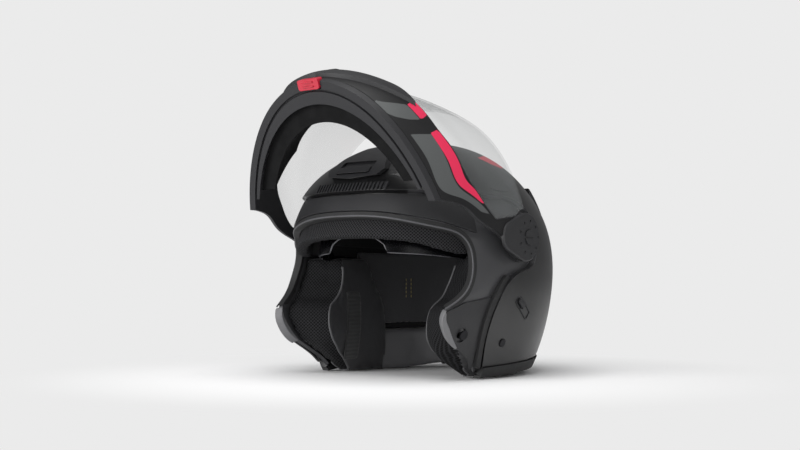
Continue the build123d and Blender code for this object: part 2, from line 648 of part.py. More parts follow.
cover_face = make_hull((along_cover(cover_shift) * Circle(cover_radius)).edges()
                       + (along_cover(cover_tip_distance) * Circle(cover_tip_radius)).edges())
cover_outer = cover_inner + cover_thickness
cover_block = extrude(Plane.YZ.offset(cover_inner) * cover_face, cover_thickness)
cover_block = chamfer(cover_block.edges().group_by(Axis.X)[-1], cover_bevel)
for step in range(cover_dimple_count):
    turn = 2 * pi * step / cover_dimple_count
    dimple_place = Pos(hinge_y + cover_dimple_ring * cos(turn), hinge_height + cover_dimple_ring * sin(turn))
    cover_block = cover_block - extrude(Plane.YZ.offset(cover_outer - cover_dimple_depth) * dimple_place
                                        * Circle(cover_dimple_radius), cover_thickness)
cover_block = cover_block - hinge_disc(cap_radius + seat_gap, cover_outer - cap_depth, cover_outer + overrun)
pivot_cover = (cover_block & stack_left) + (cover_block - face_outside)
pivot_cap = hinge_disc(cap_radius, cover_outer - cap_depth, cover_outer + cap_height) - (
    Pos(cover_outer + cap_height, hinge_y, hinge_height) * Rot(open_angle, 0, 0) * Box(
        2 * cap_height, 4 * cap_radius, cap_slot_width))

# Hinge bases and pins, fixed to the shell
pivot_pin = hinge_disc(pin_radius, 0, cover_inner - seat_gap) - recess_outside
pivot_base = hinge_disc(pivot_base_radius, 0, pivot_base_outer) - recess_outside - pivot_pin
for side, base, pin in zip(("left", "right"), both_sides(pivot_base), both_sides(pivot_pin)):
    save(f"pivot_base_{side}", base)
    save(f"pivot_pin_{side}", pin)

# Brow vent: a grille of small upright ribs above the brow band
grille_half_width = 44
grille_shares = ((-2, 1.81), (0, 1.81), (0, 1.89), (-2, 1.89))
grille_zone = side_prism(make_face(Polyline(*sized(grille_shares), close=True)), -grille_half_width,
                         grille_half_width)
grille_rise = 2
grille_base_rise = 0.6
rib_count = 22
rib_width = 1.8
rib_pitch = 2 * grille_half_width / rib_count
grille_face_top = sized(grille_shares)[2][1]
rib_gap = rib_pitch - rib_width
grille_layer = (shell_form.solid(-grille_rise) - shell_outside) & grille_zone
gap_layer = grille_layer - shell_form.solid(-grille_base_rise)
rib_gaps = [Pos(rib_pitch * (step - rib_count / 2 + 1), 0, grille_face_top) * Box(
    rib_gap, 4 * shell_half_width, shell_half_width) for step in range(rib_count - 1)]
brow_grille = grille_layer - (gap_layer & Compound(rib_gaps))
save("brow_vent_grille", brow_grille)

# Crown vent: a raised scoop with a sliding shutter
scoop_rise = 5
scoop_shares = ((0, 1.93), (0.30, 1.96), (0.35, 2.02), (0.27, 2.16), (0.16, 2.27), (0, 2.30))
scoop_line = sized(scoop_shares)
scoop_half = make_face(Polyline(*scoop_line, close=True))
scoop_prism = front_prism(scoop_half + mirror(scoop_half, Plane.YZ))
shutter_half_width = 20
shutter_height = 6
shutter_z_share = 2.02
shutter_travel = 5
shutter_proud = 1.4
shutter_z = sized(((0, shutter_z_share),))[0][1]
scoop_floor = shell_form.solid(-scoop_rise / 2)
shutter_slot = front_prism(Pos(0, shutter_z + shutter_travel / 2) * RectangleRounded(
    2 * (shutter_half_width + seat_gap), shutter_height + shutter_travel + 2 * moving_gap, shutter_height / 4))
crown_scoop = ((shell_form.solid(-scoop_rise) - shell_outside) & scoop_prism) - (shutter_slot - scoop_floor)
save("crown_vent_scoop", crown_scoop)
shutter_front = front_prism(Pos(0, shutter_z) * RectangleRounded(
    2 * shutter_half_width, shutter_height, shutter_height / 4))
shutter_under = shell_form.solid(-scoop_rise / 2 - seat_gap)
crown_slider = (shell_form.solid(-scoop_rise - shutter_proud) - shutter_under) & shutter_front
save("crown_vent_slider", crown_slider)

# Side vents, rear exhaust, sun lens slider and strap rivets on the shell
side_vent_shares = ((-0.25, 1.845), (-0.12, 1.885), (0.02, 1.88), (0.10, 1.84))
side_vent_low_shares = ((0.10, 1.84), (-0.01, 1.825), (-0.14, 1.82), (-0.25, 1.845))
side_vent_proud = 0.8
side_vent_face = make_face([Spline(*sized(side_vent_shares)), Spline(*sized(side_vent_low_shares))])
side_vent = (shell_form.solid(-side_vent_proud) - shell_outside) & side_prism(side_vent_face, from_x=0)
exhaust_rise = 8
exhaust_half_width = 75
exhaust_shares = ((0.95, 1.93), (1.50, 1.80), (1.66, 1.72), (1.50, 1.60), (1.08, 1.66))
exhaust_zone = side_prism(make_face(Polyline(*sized(exhaust_shares), close=True)), -exhaust_half_width,
                          exhaust_half_width)
rear_exhaust = (shell_form.solid(-exhaust_rise) - shell_outside) & exhaust_zone
save("rear_exhaust", rear_exhaust)
slider_shares = ((0.04, 0.73), (0.16, 0.63))
slider_from, slider_to = sized(slider_shares)
slider_half_length = 6
slider_half_width = 3
slider_proud = 2.4
slider_lift = 0.7
slider_track_proud = 0.6
slider_travel = 12
slider_turn = degrees(atan2(slider_to[1] - slider_from[1], slider_to[0] - slider_from[0]))
slider_rest = Pos(*slider_from) * Rot(0, 0, slider_turn)
slider_block = side_prism((slider_rest * RectangleRounded(
    2 * slider_half_length, 2 * slider_half_width, slider_half_width / 2)), from_x=0)
sun_slider = (shell_form.solid(-slider_proud) - shell_form.solid(-slider_lift)) & slider_block
save("sun_lens_slider", sun_slider)
track_wall = 1.5
track_middle = slider_rest * Pos(slider_travel / 2, 0)
track_length = slider_travel + 2 * (slider_half_length + moving_gap)
track_height = 2 * (slider_half_width + moving_gap)
track_face = track_middle * RectangleRounded(track_length + 2 * track_wall, track_height + 2 * track_wall,
                                             slider_half_width) - (
    track_middle * RectangleRounded(track_length, track_height, slider_half_width / 2))
sun_track = (shell_form.solid(-slider_track_proud) - shell_outside) & side_prism(track_face, from_x=0)
save("sun_lens_track", sun_track)
rivet_shares = (-0.17, 0.35)
rivet_y, rivet_z = sized((rivet_shares,))[0]
rivet_radius = 4
rivet_proud = 1
rivet = (shell_form.solid(-rivet_proud) - shell_outside) & side_prism(
    Pos(rivet_y, rivet_z) * Circle(rivet_radius), from_x=0)
rivets = both_sides(rivet)
save("strap_rivets", Compound([*rivets[0].solids(), *rivets[1].solids()]))
for side, vent in zip(("left", "right"), both_sides(side_vent)):
    save(f"side_vent_{side}", vent)

# Chin straps, folded flat against the cheek pads
strap_half_width = 11
strap_thickness = 2
strap_y_share = -0.26
strap_low = 14
strap_high = 84
strap_y = sized(((strap_y_share, 0),))[0][0]
strap_zone = side_prism(Pos(strap_y, (strap_low + strap_high) / 2) * RectangleRounded(
    2 * strap_half_width, strap_high - strap_low, strap_half_width / 4), from_x=0)
chin_strap = (neck_oval(seat_gap) - neck_oval(seat_gap + strap_thickness)) & strap_zone
for side, strap in zip(("left", "right"), both_sides(chin_strap)):
    save(f"chin_strap_{side}", strap)

# Slider in the chin vent, over the louvres
knob_half_width = 6
knob_height = 6.6
knob_proud = 1.6
knob_gap = 0.5
knob_zone = front_prism(Pos(0, vent_slot_z) * RectangleRounded(2 * knob_half_width, knob_height, knob_height / 4))
chin_slider = (face_form.solid(-vent_cover_rise - knob_proud) - face_form.solid(-louvre_rise - knob_gap)) & knob_zone

# The chin bar and all that it carries, turned up
save("chin_bar", raised(chin_bar))
save("chin_rim", raised(chin_rim))
save("chin_lining", raised(chin_lining))
save("release_button", raised(release_button))
save("chin_vent_cover", raised(vent_cover))
save("chin_vent_slider", raised(chin_slider))
save("visor", raised(visor))
save("visor_seal", raised(visor_seal))
for side, cover, cap in zip(("left", "right"), both_sides(pivot_cover), both_sides(pivot_cap)):
    save(f"pivot_cover_{side}", raised(cover))
    save(f"pivot_cap_{side}", raised(cap))
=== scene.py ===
import bmesh
import bpy
import numpy as np
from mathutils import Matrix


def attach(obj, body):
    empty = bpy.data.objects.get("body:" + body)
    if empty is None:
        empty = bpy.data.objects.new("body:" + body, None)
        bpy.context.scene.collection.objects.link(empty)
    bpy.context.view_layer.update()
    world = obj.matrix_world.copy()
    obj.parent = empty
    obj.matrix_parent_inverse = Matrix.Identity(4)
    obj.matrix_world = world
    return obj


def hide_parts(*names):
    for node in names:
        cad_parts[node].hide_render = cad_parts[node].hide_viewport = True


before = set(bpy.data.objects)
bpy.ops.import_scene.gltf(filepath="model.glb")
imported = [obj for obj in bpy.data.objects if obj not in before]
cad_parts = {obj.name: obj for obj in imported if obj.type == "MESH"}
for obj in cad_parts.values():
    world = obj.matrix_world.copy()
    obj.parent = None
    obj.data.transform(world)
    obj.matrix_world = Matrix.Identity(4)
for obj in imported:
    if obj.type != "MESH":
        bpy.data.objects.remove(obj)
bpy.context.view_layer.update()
scene = bpy.context.scene

# Outer shell: one injection-moulded thermoplastic shell, sprayed gloss black, that carries all else. Its face
# side is set in by a sharp step, so that the chin bar lies flush with it. Lengths are in millimetres, y is
# negative towards the face, and z is the height over the floor.
MM = 0.001
decimetre = 100
head_centre = 112.0
shell_half_width, shell_radius, shell_squareness = 125, 124, 2.38
shell_profile_shares = (1.15, 1.06, 1.05, 1.0, 1.0, 1.02, 1.07, 1.16, 1.21, 1.24, 1.315, 1.387, 1.355, 1.33,
                        1.476, 1.516)
shell_wall, step_depth, seal_room = 3.8, 6.0, 0.4
rim_front_height, rim_nape_height, rim_rise_start, rim_rise_run = 1.5, 11.0, -50.0, 180.0
sides_from = 60


def closed_spline(angles, values):
    """Cubic through values at angles in degrees that closes on itself: its slope and curvature agree at each
    knot, and one linear system gives its bend there."""
    x = np.append(angles, angles[0] + 360.0)
    y = np.append(values, values[0])
    count = len(angles)
    gap = np.diff(x)
    system = np.zeros((count, count))
    rate = np.diff(y) / gap
    for knot in range(count):
        before, after = gap[knot - 1], gap[knot]
        system[knot, knot - 1] += before
        system[knot, knot] += 2 * (before + after)
        system[knot, (knot + 1) % count] += after
    bend = np.linalg.solve(system, 6 * (rate - np.roll(rate, 1)))

    def value_at(angle):
        t = (angle - x[0]) % 360 + x[0]
        knot = np.clip(np.searchsorted(x, t, side="right") - 1, 0, count - 1)
        width = gap[knot]
        a = (x[knot + 1] - t) / width
        b = 1 - a
        return (a * y[knot] + b * y[knot + 1]
                + ((a ** 3 - a) * bend[knot] + (b ** 3 - b) * bend[(knot + 1) % count]) * width ** 2 / 6)

    return value_at


def head_form(half_width, radius, angles, shares, squareness):
    """A form whose point at a turn t and an angle a lies at x = w sin(t)^(2/n) and, in the side view, at
    cos(t)^(2/n) times the profile's radius at a from the head's centre. Here n is the squareness and w the half
    width, and an inset comes off w and that radius."""
    profile = closed_spline(np.array(angles, float), radius * np.array(shares, float))

    def surface(turn, angle, inset=0.0):
        sine, cosine = np.sin(np.radians(turn)), np.clip(np.cos(np.radians(turn)), 0, None)
        x = (half_width - inset) * np.sign(sine) * np.abs(sine) ** (2 / squareness)
        reach = cosine ** (2 / squareness) * (profile(angle) - inset)
        forward, up = np.cos(np.radians(angle)), np.sin(np.radians(angle))
        return np.stack([x, -reach * forward, head_centre + reach * up], -1)

    surface.profile = profile
    return surface


shell_surface = head_form(shell_half_width, shell_radius, np.arange(16) * 360 / 16, shell_profile_shares,
                          shell_squareness)


def smooth_run(points, steps=14):
    """Natural cubic through points by their spacing along the run: no curvature at its two ends."""
    points = np.array(points, float)
    at = np.append(0, np.cumsum(np.hypot(*np.diff(points, axis=0).T)))
    gap = np.diff(at)
    count = len(points)
    system, slope = np.eye(count), np.diff(points, axis=0) / gap[:, None]
    right = np.zeros((count, 2))
    for knot in range(1, count - 1):
        system[knot, knot - 1:knot + 2] = gap[knot - 1], 2 * (gap[knot - 1] + gap[knot]), gap[knot]
        right[knot] = 6 * (slope[knot] - slope[knot - 1])
    bend = np.linalg.solve(system, right)
    t = np.linspace(0, at[-1], steps * (count - 1) + 1)
    knot = np.clip(np.searchsorted(at, t, side="right") - 1, 0, count - 2)
    width = gap[knot][:, None]
    a = (at[knot + 1] - t)[:, None] / width
    b = 1 - a
    return (a * points[knot] + b * points[knot + 1]
            + ((a ** 3 - a) * bend[knot] + (b ** 3 - b) * bend[knot + 1]) * width ** 2 / 6)


def outside_by(outline, y, z):
    """How far a point of the side view lies outside a closed outline: negative within it."""
    near = np.full(y.shape, 1e9)
    within = np.zeros(y.shape, bool)
    for (y0, z0), (y1, z1) in zip(outline, np.roll(outline, -1, axis=0)):
        dy, dz = y1 - y0, z1 - z0
        along = np.clip(((y - y0) * dy + (z - z0) * dz) / max(dy * dy + dz * dz, 1e-12), 0, 1)
        near = np.minimum(near, np.hypot(y - y0 - along * dy, z - z0 - along * dz))
        if z0 != z1:
            within ^= ((z0 > z) != (z1 > z)) & (y < y0 + (z - z0) * dy / dz)
    return np.where(within, -near, near)


def slide_to_line(turn, angle, field):
    """Moves the grid points next to the line field = 0 onto it, along their own grid lines and by half a cell
    at most, and returns the field with those points at exactly zero."""
    best = np.full(turn.shape, 0.5)
    move_turn, move_angle = np.zeros(turn.shape), np.zeros(turn.shape)
    full = angle[0, -1] - angle[0, 0] + (angle[0, 1] - angle[0, 0])
    for axis, step in ((0, 1), (0, -1), (1, 1), (1, -1)):
        other = np.roll(field, -step, axis)
        to_turn = np.roll(turn, -step, axis) - turn
        to_angle = (np.roll(angle, -step, axis) - angle + full / 2) % full - full / 2
        crossing = field * other < 0
        if axis == 0:
            crossing[-1 if step == 1 else 0, :] = False
        elif full < 359:
            crossing[:, -1 if step == 1 else 0] = False
        share = np.where(crossing, field / np.where(crossing, field - other, 1), 1)
        use = share <= best
        best = np.where(use, share, best)
        move_turn = np.where(use, share * to_turn, move_turn)
        move_angle = np.where(use, share * to_angle, move_angle)
    moved = (move_turn != 0) | (move_angle != 0)
    return turn + move_turn, angle + move_angle, np.where(moved, 0.0, field)


def kept_faces(field, middle, closed):
    """The grid's faces where the field is negative: whole cells, and half cells cut corner to corner."""
    rows, columns = field.shape
    span = columns if closed else columns - 1
    i, j = np.meshgrid(np.arange(rows - 1), np.arange(span), indexing="ij")
    next_j = (j + 1) % columns
    corners = np.stack([i * columns + j, (i + 1) * columns + j,
                        (i + 1) * columns + next_j, i * columns + next_j], -1).reshape(-1, 4)
    values = field.ravel()[corners]
    low, high = values.min(1), values.max(1)
    whole = (high <= 0) & ((low < 0) | (middle.ravel()[corners].mean(1) < 0))
    faces = [list(face) for face in corners[whole].tolist()]
    for a, b, c in ((0, 1, 2), (2, 3, 0), (1, 2, 3), (3, 0, 1)):
        on_line = (values[:, a] == 0) & (values[:, c] == 0) & (values[:, b] < 0) & (high > 0)
        faces += corners[on_line][:, [a, b, c]].tolist()
    return faces


def finish_mesh(name, points, faces, sharp=35.0):
    """A mesh object from points in millimetres: doubles merged, normals outward, and smooth but for the edges
    at which it turns by more than the sharp angle."""
    mesh = bpy.data.meshes.new(name)
    mesh.from_pydata((np.asarray(points) * MM).tolist(), [], faces)
    work = bmesh.new()
    work.from_mesh(mesh)
    doubles_within = 1e-5
    bmesh.ops.remove_doubles(work, verts=work.verts, dist=doubles_within)
    bmesh.ops.dissolve_degenerate(work, edges=work.edges, dist=doubles_within)
    loose = [v for v in work.verts if not v.link_faces]
    bmesh.ops.delete(work, geom=loose, context="VERTS")
    bmesh.ops.recalc_face_normals(work, faces=work.faces)
    work.to_mesh(mesh)
    work.free()
    mesh.polygons.foreach_set("use_smooth", np.ones(len(mesh.polygons), bool))
    mesh.set_sharp_from_angle(angle=np.radians(sharp))
    piece = bpy.data.objects.new(name, mesh)
    scene.collection.objects.link(piece)
    return piece


def round_edges(piece, label, width_mm=0.9, over_degrees=50, harden=False):
    """Rounds the edges at which a surface turns by more than an angle, as a mould or a die leaves them."""
    bevel = piece.modifiers.new(label, "BEVEL")
    bevel.width = width_mm * MM
    bevel.segments = 2
    bevel.limit_method = "ANGLE"
    bevel.angle_limit = np.radians(over_degrees)
    bevel.harden_normals = harden


def vertex_places(mesh):
    """The places of a mesh's vertices, in metres: one row of x, y and z for each."""
    place = np.empty(len(mesh.vertices) * 3)
    mesh.vertices.foreach_get("co", place)
    return place.reshape(-1, 3)


def linear(hex_code):
    """An sRGB hex colour as the linear values that a shader's colour socket takes."""
    value = np.array([int(hex_code[at:at + 2], 16) for at in (1, 3, 5)]) / 255
    return (*np.where(value <= 0.04045, value / 12.92, ((value + 0.055) / 1.055) ** 2.4).tolist(), 1.0)


def add_node(material, kind, settings=None, links=None):
    """Adds one node with its settings, by property or socket name, and its incoming links."""
    node = material.node_tree.nodes.new(kind)
    for key, value in (settings or {}).items():
        if isinstance(key, int) or key in node.inputs:
            node.inputs[key].default_value = value
        else:
            setattr(node, key, value)
    for key, socket in (links or {}).items():
        material.node_tree.links.new(socket, node.inputs[key])
    return node


def new_material(name, colour, roughness, **sockets):
    """A material with its one shader set, ready for its pattern nodes."""
    material = bpy.data.materials.new(name)
    material.use_nodes = True
    shader = material.node_tree.nodes["Principled BSDF"]
    shader.inputs["Base Color"].default_value = linear(colour)
    shader.inputs["Roughness"].default_value = roughness
    for key, value in sockets.items():
        shader.inputs[key.replace("_", " ")].default_value = value
    return material, shader


def wire(material, socket, target):
    """Links an output socket to an input socket."""
    material.node_tree.links.new(socket, target)


def paint(piece, *materials):
    """Gives a piece its materials, in slot order."""
    piece.data.materials.clear()
    for material in materials:
        piece.data.materials.append(material)


def mottle(material, shader, size_mm, low, high):
    """Uneven roughness, as spray and handling leave it, in patches of a real size. Returns the pattern's
    coordinates."""
    place = add_node(material, "ShaderNodeTexCoord")
    noise = add_node(material, "ShaderNodeTexNoise", {"Scale": 1000 / size_mm, "Detail": 3.0},
                     {"Vector": place.outputs["Object"]})
    spread = add_node(material, "ShaderNodeMapRange",
                      {"From Min": 0.3, "From Max": 0.7, "To Min": low, "To Max": high},
                      {"Value": noise.outputs["Fac"]})
    wire(material, spread.outputs["Result"], shader.inputs["Roughness"])
    return place


def stripe_attribute(piece, name, field):
    """Stores, at each vertex, how far it lies outside a painted stripe, in millimetres."""
    layer = piece.data.attributes.new(name, "FLOAT", "POINT")
    layer.data.foreach_set("value", field(vertex_places(piece.data) / MM).astype(np.float32))


# A colour Mix node's sockets go by number, because its kinds of data share their names.
mix_under, mix_over, mix_result = 6, 7, 2


def painted(material, ground, layers, mask_edge_mm=0.12):
    """Colours laid over one another where each stripe's distance is below zero, with a hard masked edge."""
    colour = add_node(material, "ShaderNodeRGB")
    colour.outputs[0].default_value = linear(ground)
    last = colour.outputs[0]
    for name, code in layers:
        far = add_node(material, "ShaderNodeAttribute", {"attribute_name": name})
        within = add_node(material, "ShaderNodeMapRange",
                          {"From Min": mask_edge_mm, "From Max": -mask_edge_mm},
                          {"Value": far.outputs["Fac"]})
        mix = add_node(material, "ShaderNodeMix", {"data_type": "RGBA"})
        wire(material, within.outputs["Result"], mix.inputs[0])
        wire(material, last, mix.inputs[mix_under])
        mix.inputs[mix_over].default_value = linear(code)
        last = mix.outputs[mix_result]
    return last


# Outlines of the side view, as y and z in decimetres: the step, the face port and the jaw's edge. Each outline
# closes far in front of the face.
far_front, far_below = -240, -20
step_run = smooth_run(decimetre * np.array((
    (-0.34, -0.2), (-0.34, 0.08), (-0.41, 0.29), (-0.41, 0.57), (-0.29, 0.81), (-0.12, 0.98), (0.04, 1.045),
    (0.21, 1.09), (0.34, 1.22), (0.37, 1.40), (0.31, 1.60), (0.10, 1.73), (-0.35, 1.77), (-1.0, 1.80),
    (-1.6, 1.82))))
step_outline = np.vstack([step_run, [(far_front, 182), (far_front, far_below)]])
port_points = ((-1.6, 1.62), (-1.17, 1.56), (-1.05, 1.505), (-0.87, 1.445), (-0.70, 1.375), (-0.625, 1.25),
               (-0.64, 1.04), (-0.73, 0.86), (-0.84, 0.765), (-0.97, 0.69))
port_run = smooth_run(decimetre * np.array(port_points))
jaw_run = smooth_run(decimetre * np.array((
    (-0.97, 0.69), (-1.0, 0.58), (-0.96, 0.48), (-0.88, 0.38), (-0.76, 0.30), (-0.50, 0.15), (-0.38, 0.05),
    (-0.34, -0.2))))
port_outline = np.vstack([port_run, jaw_run[1:], [(far_front, far_below), (far_front, 162)]])


def above_rim(y, z):
    """Height over the shell's lower rim, which rises in a straight line towards the nape."""
    rise = (rim_nape_height - rim_front_height) / rim_rise_run
    return z - rim_front_height - rise * np.clip(y - rim_rise_start, 0, None)


def off_face_side(place):
    """How far a point lies outside the part of the shell that is set in: negative on it."""
    return outside_by(step_outline, place[..., 1], place[..., 2]) - seal_room


def cut_away(place):
    """Positive in the face port and under the lower rim, where the shell has no wall."""
    y, z = place[..., 1], place[..., 2]
    return np.maximum(-outside_by(port_outline, y, z), -above_rim(y, z))


turn, angle = np.meshgrid(np.linspace(-90, 90, 151), np.arange(0, 360, 1.0), indexing="ij")
turn, angle, step_snapped = slide_to_line(turn, angle, off_face_side(shell_surface(turn, angle)))
turn, angle, open_snapped = slide_to_line(turn, angle, cut_away(shell_surface(turn, angle)))
place = shell_surface(turn, angle)
step_middle, open_middle = off_face_side(place), cut_away(place)
flat_step = np.where(step_snapped == 0, 0, step_middle).ravel()
# A cell that the step cuts from corner to corner becomes two faces, one on each level.
solid_faces = []
for face in kept_faces(open_snapped, open_middle, True):
    values = flat_step[face]
    if len(face) == 4 and values.min() < 0 < values.max():
        if values[0] == values[2] == 0:
            solid_faces += [[face[0], face[1], face[2]], [face[2], face[3], face[0]]]
            continue
        if values[1] == values[3] == 0:
            solid_faces += [[face[1], face[2], face[3]], [face[3], face[0], face[1]]]
            continue
    solid_faces.append(face)
count = flat_step.size
on_face_side = [min(flat_step[v] for v in face) < 0 and max(flat_step[v] for v in face) <= 0
                or sum(step_middle.ravel()[v] for v in face) < 0 for face in solid_faces]
insets = (0.0, shell_wall, step_depth, step_depth + shell_wall)
levels = [shell_surface(turn, angle, inset).reshape(-1, 3) for inset in insets]
# Each level has an outer and an inner skin. A wall closes the cut edges and joins the two levels at the step.
shell_faces, owner = [], {}
for face, set_in in zip(solid_faces, on_face_side):
    lift = 2 * count if set_in else 0
    shell_faces.append([v + lift for v in face])
    shell_faces.append([v + lift + count for v in reversed(face)])
    for a, b in zip(face, face[1:] + face[:1]):
        owner[(a, b)] = lift
for (a, b), lift in owner.items():
    other = owner.get((b, a))
    if other is None:
        shell_faces.append([b + lift, a + lift, a + lift + count, b + lift + count])
    elif lift == 0 and other:
        shell_faces.append([b, a, a + other, b + other])
        shell_faces.append([a + count, b + count, b + count + other, a + count + other])
shell_skin = finish_mesh("shell_skin", np.vstack(levels), shell_faces, sharp=40)
round_edges(shell_skin, "moulded_edge", harden=True)
crown_stripe = np.array(((-4, 217), (23, 222), (46, 218), (37, 209.5), (22, 208), (8, 211)), float)
stripe_attribute(shell_skin, "crown_stripe", lambda p: np.maximum(
    outside_by(crown_stripe, p[:, 1], p[:, 2]), sides_from - np.abs(p[:, 0])))
stripe_attribute(shell_skin, "set_in_side", lambda p: np.maximum(
    off_face_side(p), sides_from - np.abs(p[:, 0])))
# Sprayed lacquer on ABS: deep black with soft, broad reflections. The set-in face side is a dull dark grey, made
# lighter than its own matte finish to lift the shade that the raised chin bar casts there: partly painted light.
gloss_lacquer, lacquer_shader = new_material("gloss_lacquer_on_abs", "#0d0d0e", 0.4, Coat_Weight=0.25,
                                             Coat_Roughness=0.06, IOR=1.5)
mottle(gloss_lacquer, lacquer_shader, size_mm=60, low=0.36, high=0.46)
# The set-in side's grey is partly painted light against the chin bar's shade.
lacquer_colour = painted(gloss_lacquer, "#0d0d0e", [("set_in_side", "#3a3a3c"), ("crown_stripe", "#c8283f")])
wire(gloss_lacquer, lacquer_colour, lacquer_shader.inputs["Base Color"])
paint(shell_skin, gloss_lacquer)
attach(shell_skin, "shell")
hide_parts("outer_shell")


# Small moulded and rubber pieces: the frame's own solids, in matte ABS, black EPDM rubber and blackened steel.
# The brow band, jaw covers and vents clip on, the seals are pushed over the shell's edges, and the pins and
# rivets are pressed in.
def grain(material, shader, place, size_mm, depth_mm, strength=0.5, edge_mm=0.6):
    """The spark-eroded grain of a mould, over edges that it leaves slightly round. Real grain is about 0.1 mm:
    it is drawn 5 to 15 times as coarse, so that it shows."""
    edge = add_node(material, "ShaderNodeBevel", {"samples": 4, "Radius": edge_mm * MM})
    noise = add_node(material, "ShaderNodeTexNoise", {"Scale": 1000 / size_mm, "Detail": 2.0},
                     {"Vector": place.outputs["Object"]})
    bump = add_node(material, "ShaderNodeBump", {"Strength": strength, "Distance": depth_mm * MM},
                    {"Height": noise.outputs["Fac"], "Normal": edge.outputs["Normal"]})
    wire(material, bump.outputs["Normal"], shader.inputs["Normal"])


def grained_material(name, colour, roughness, patch_mm, spread, grain_mm, depth_mm, strength, edge_mm=0.6,
                     **sockets):
    """A material whose roughness spreads between two values in patches of one size, with a grain of another."""
    material, shader = new_material(name, colour, roughness, **sockets)
    place = mottle(material, shader, patch_mm, *spread)
    grain(material, shader, place, grain_mm, depth_mm, strength, edge_mm)
    return material


# Moulded ABS: near black and dull, with a faint grain where light grazes it.
matte_abs = grained_material("moulded_matte_abs", "#202022", 0.55, patch_mm=35, spread=(0.48, 0.6),
                             grain_mm=0.7, depth_mm=0.05, strength=0.35, IOR=1.5)
# Extruded EPDM: black and almost without a reflection.
epdm = grained_material("epdm_rubber_trim", "#1b1b1c", 0.7, patch_mm=20, spread=(0.62, 0.78), grain_mm=1.2,
                        depth_mm=0.06, strength=0.3, IOR=1.5)
# The rim's ABS comes from a smoother mould: dark grey with a soft satin band of light.
rim_abs = grained_material("satin_grey_abs_rim", "#262628", 0.5, patch_mm=30, spread=(0.42, 0.55),
                           grain_mm=0.7, depth_mm=0.04, strength=0.3, Specular_IOR_Level=0.25)
# Blackened steel: dark, with small bright points on its edges.
pin_steel = grained_material("blackened_steel", "#2b2b2d", 0.35, patch_mm=2, spread=(0.28, 0.42),
                             grain_mm=0.5, depth_mm=0.02, strength=0.2, Metallic=1.0)
for material, single, paired in (
        (matte_abs, ("brow_band", "brow_vent_grille", "crown_vent_scoop", "crown_vent_slider", "rear_exhaust",
                     "sun_lens_track", "sun_lens_slider", "chin_bar", "chin_vent_cover", "chin_vent_slider"),
         ("jaw_cover", "pivot_base", "side_vent", "pivot_cover", "pivot_cap")),
        (rim_abs, ("chin_rim",), ()),
        (epdm, ("base_trim", "visor_seal"), ("step_seal",)),
        (pin_steel, ("latch_posts", "sun_lens_pins", "strap_rivets"), ("pivot_pin",))):
    for name in (*single, *(f"{pair}_{side}" for pair in paired for side in ("left", "right"))):
        paint(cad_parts[name], material)

# Face port trim: an extruded EPDM profile pushed over the edge of the face port, with a paler lip round the
# opening: a thin pale line, a painted highlight along the trim's edge. Below it, where the chin bar shuts
# against the jaw, a soft grey bumper wraps the jaw's edge on each side; its light grey is a painted highlight on
# the jaw covers' front edges.
trim_inset, trim_depth, trim_reach, trim_overhang, trim_foot = 4.6, 11.0, 4.6, 1.4, 70
lip_inset, lip_radius, lip_spacing = 4.6, 0.9, 2.5
bumper_inset, bumper_depth, bumper_reach, bumper_overhang = 3.1, 10.4, 5.5, 1.0
bumper_foot, bumper_top = 27, 69.5
port_turns = np.linspace(-82, 82, 181)
port_angles, bumper_angles = np.arange(-38, 50, 0.5), np.arange(-70, -10, 0.5)


def thick_sheet(name, surface, keep, outer, inner, turns, angles, finish=None, sharp=35.0):
    """A moulded wall between two insets of a form, kept where keep of its outer side's points is negative."""
    turn, angle = np.meshgrid(turns, angles, indexing="ij")
    closed = angles[-1] - angles[0] > 300
    turn, angle, snapped = slide_to_line(turn, angle, keep(surface(turn, angle, outer)))
    out = surface(turn, angle, outer)
    within = surface(turn, angle, inner)
    faces = kept_faces(snapped, keep(out), closed)
    count = turn.size
    edges = {(a, b): True for face in faces for a, b in zip(face, face[1:] + face[:1])}
    rim = [(a, b) for a, b in edges if (b, a) not in edges]
    back = [[v + count for v in reversed(face)] for face in faces]
    walls = [[b, a, a + count, b + count] for a, b in rim]
    points = np.vstack([out.reshape(-1, 3), within.reshape(-1, 3)])
    if finish is not None:
        points = finish(points)
    return finish_mesh(name, points, faces + back + walls, sharp)


def trim_keep(p):
    """Negative on a band of one width along the port's edge, down to the trim's foot."""
    beyond = outside_by(port_outline, p[..., 1], p[..., 2])
    return np.maximum.reduce([beyond - trim_reach, -trim_overhang - beyond, trim_foot - p[..., 2]])


def bumper_keep(p):
    """Negative on a band along the jaw's edge whose width is a half sine from the bumper's foot to its top."""
    y, z = p[..., 1], p[..., 2]
    beyond = outside_by(port_outline, y, z)
    swell = np.sin(np.pi * np.clip((z - bumper_foot) / (bumper_top - bumper_foot), 0, 1))
    return np.maximum.reduce([beyond - bumper_reach * swell, -bumper_overhang * swell - beyond,
                              sides_from - np.abs(p[..., 0])])


def tube(name, path, radius_mm, sides=8):
    """A round bead with closed ends: each point of the path p, in millimetres, carries the ring
    p + r (cos(t) side + sin(t) up), where side and up stand square to the path."""
    run = np.gradient(path, axis=0)
    run /= np.maximum(np.linalg.norm(run, axis=1, keepdims=True), 1e-9)
    off_every_path = (0.31, 0.17, 0.93)
    side = np.cross(run, off_every_path)
    side /= np.linalg.norm(side, axis=1, keepdims=True)
    up = np.cross(side, run)
    turn = np.arange(sides) * 2 * np.pi / sides
    ring = np.cos(turn)[None, :, None] * side[:, None] + np.sin(turn)[None, :, None] * up[:, None]
    points = (path[:, None] + radius_mm * ring).reshape(-1, 3)
    faces = [[i * sides + j, i * sides + (j + 1) % sides, (i + 1) * sides + (j + 1) % sides,
              (i + 1) * sides + j] for i in range(len(path) - 1) for j in range(sides)]
    ends = [list(range(sides))[::-1], [(len(path) - 1) * sides + j for j in range(sides)]]
    return finish_mesh(name, points, faces + ends, sharp=60)


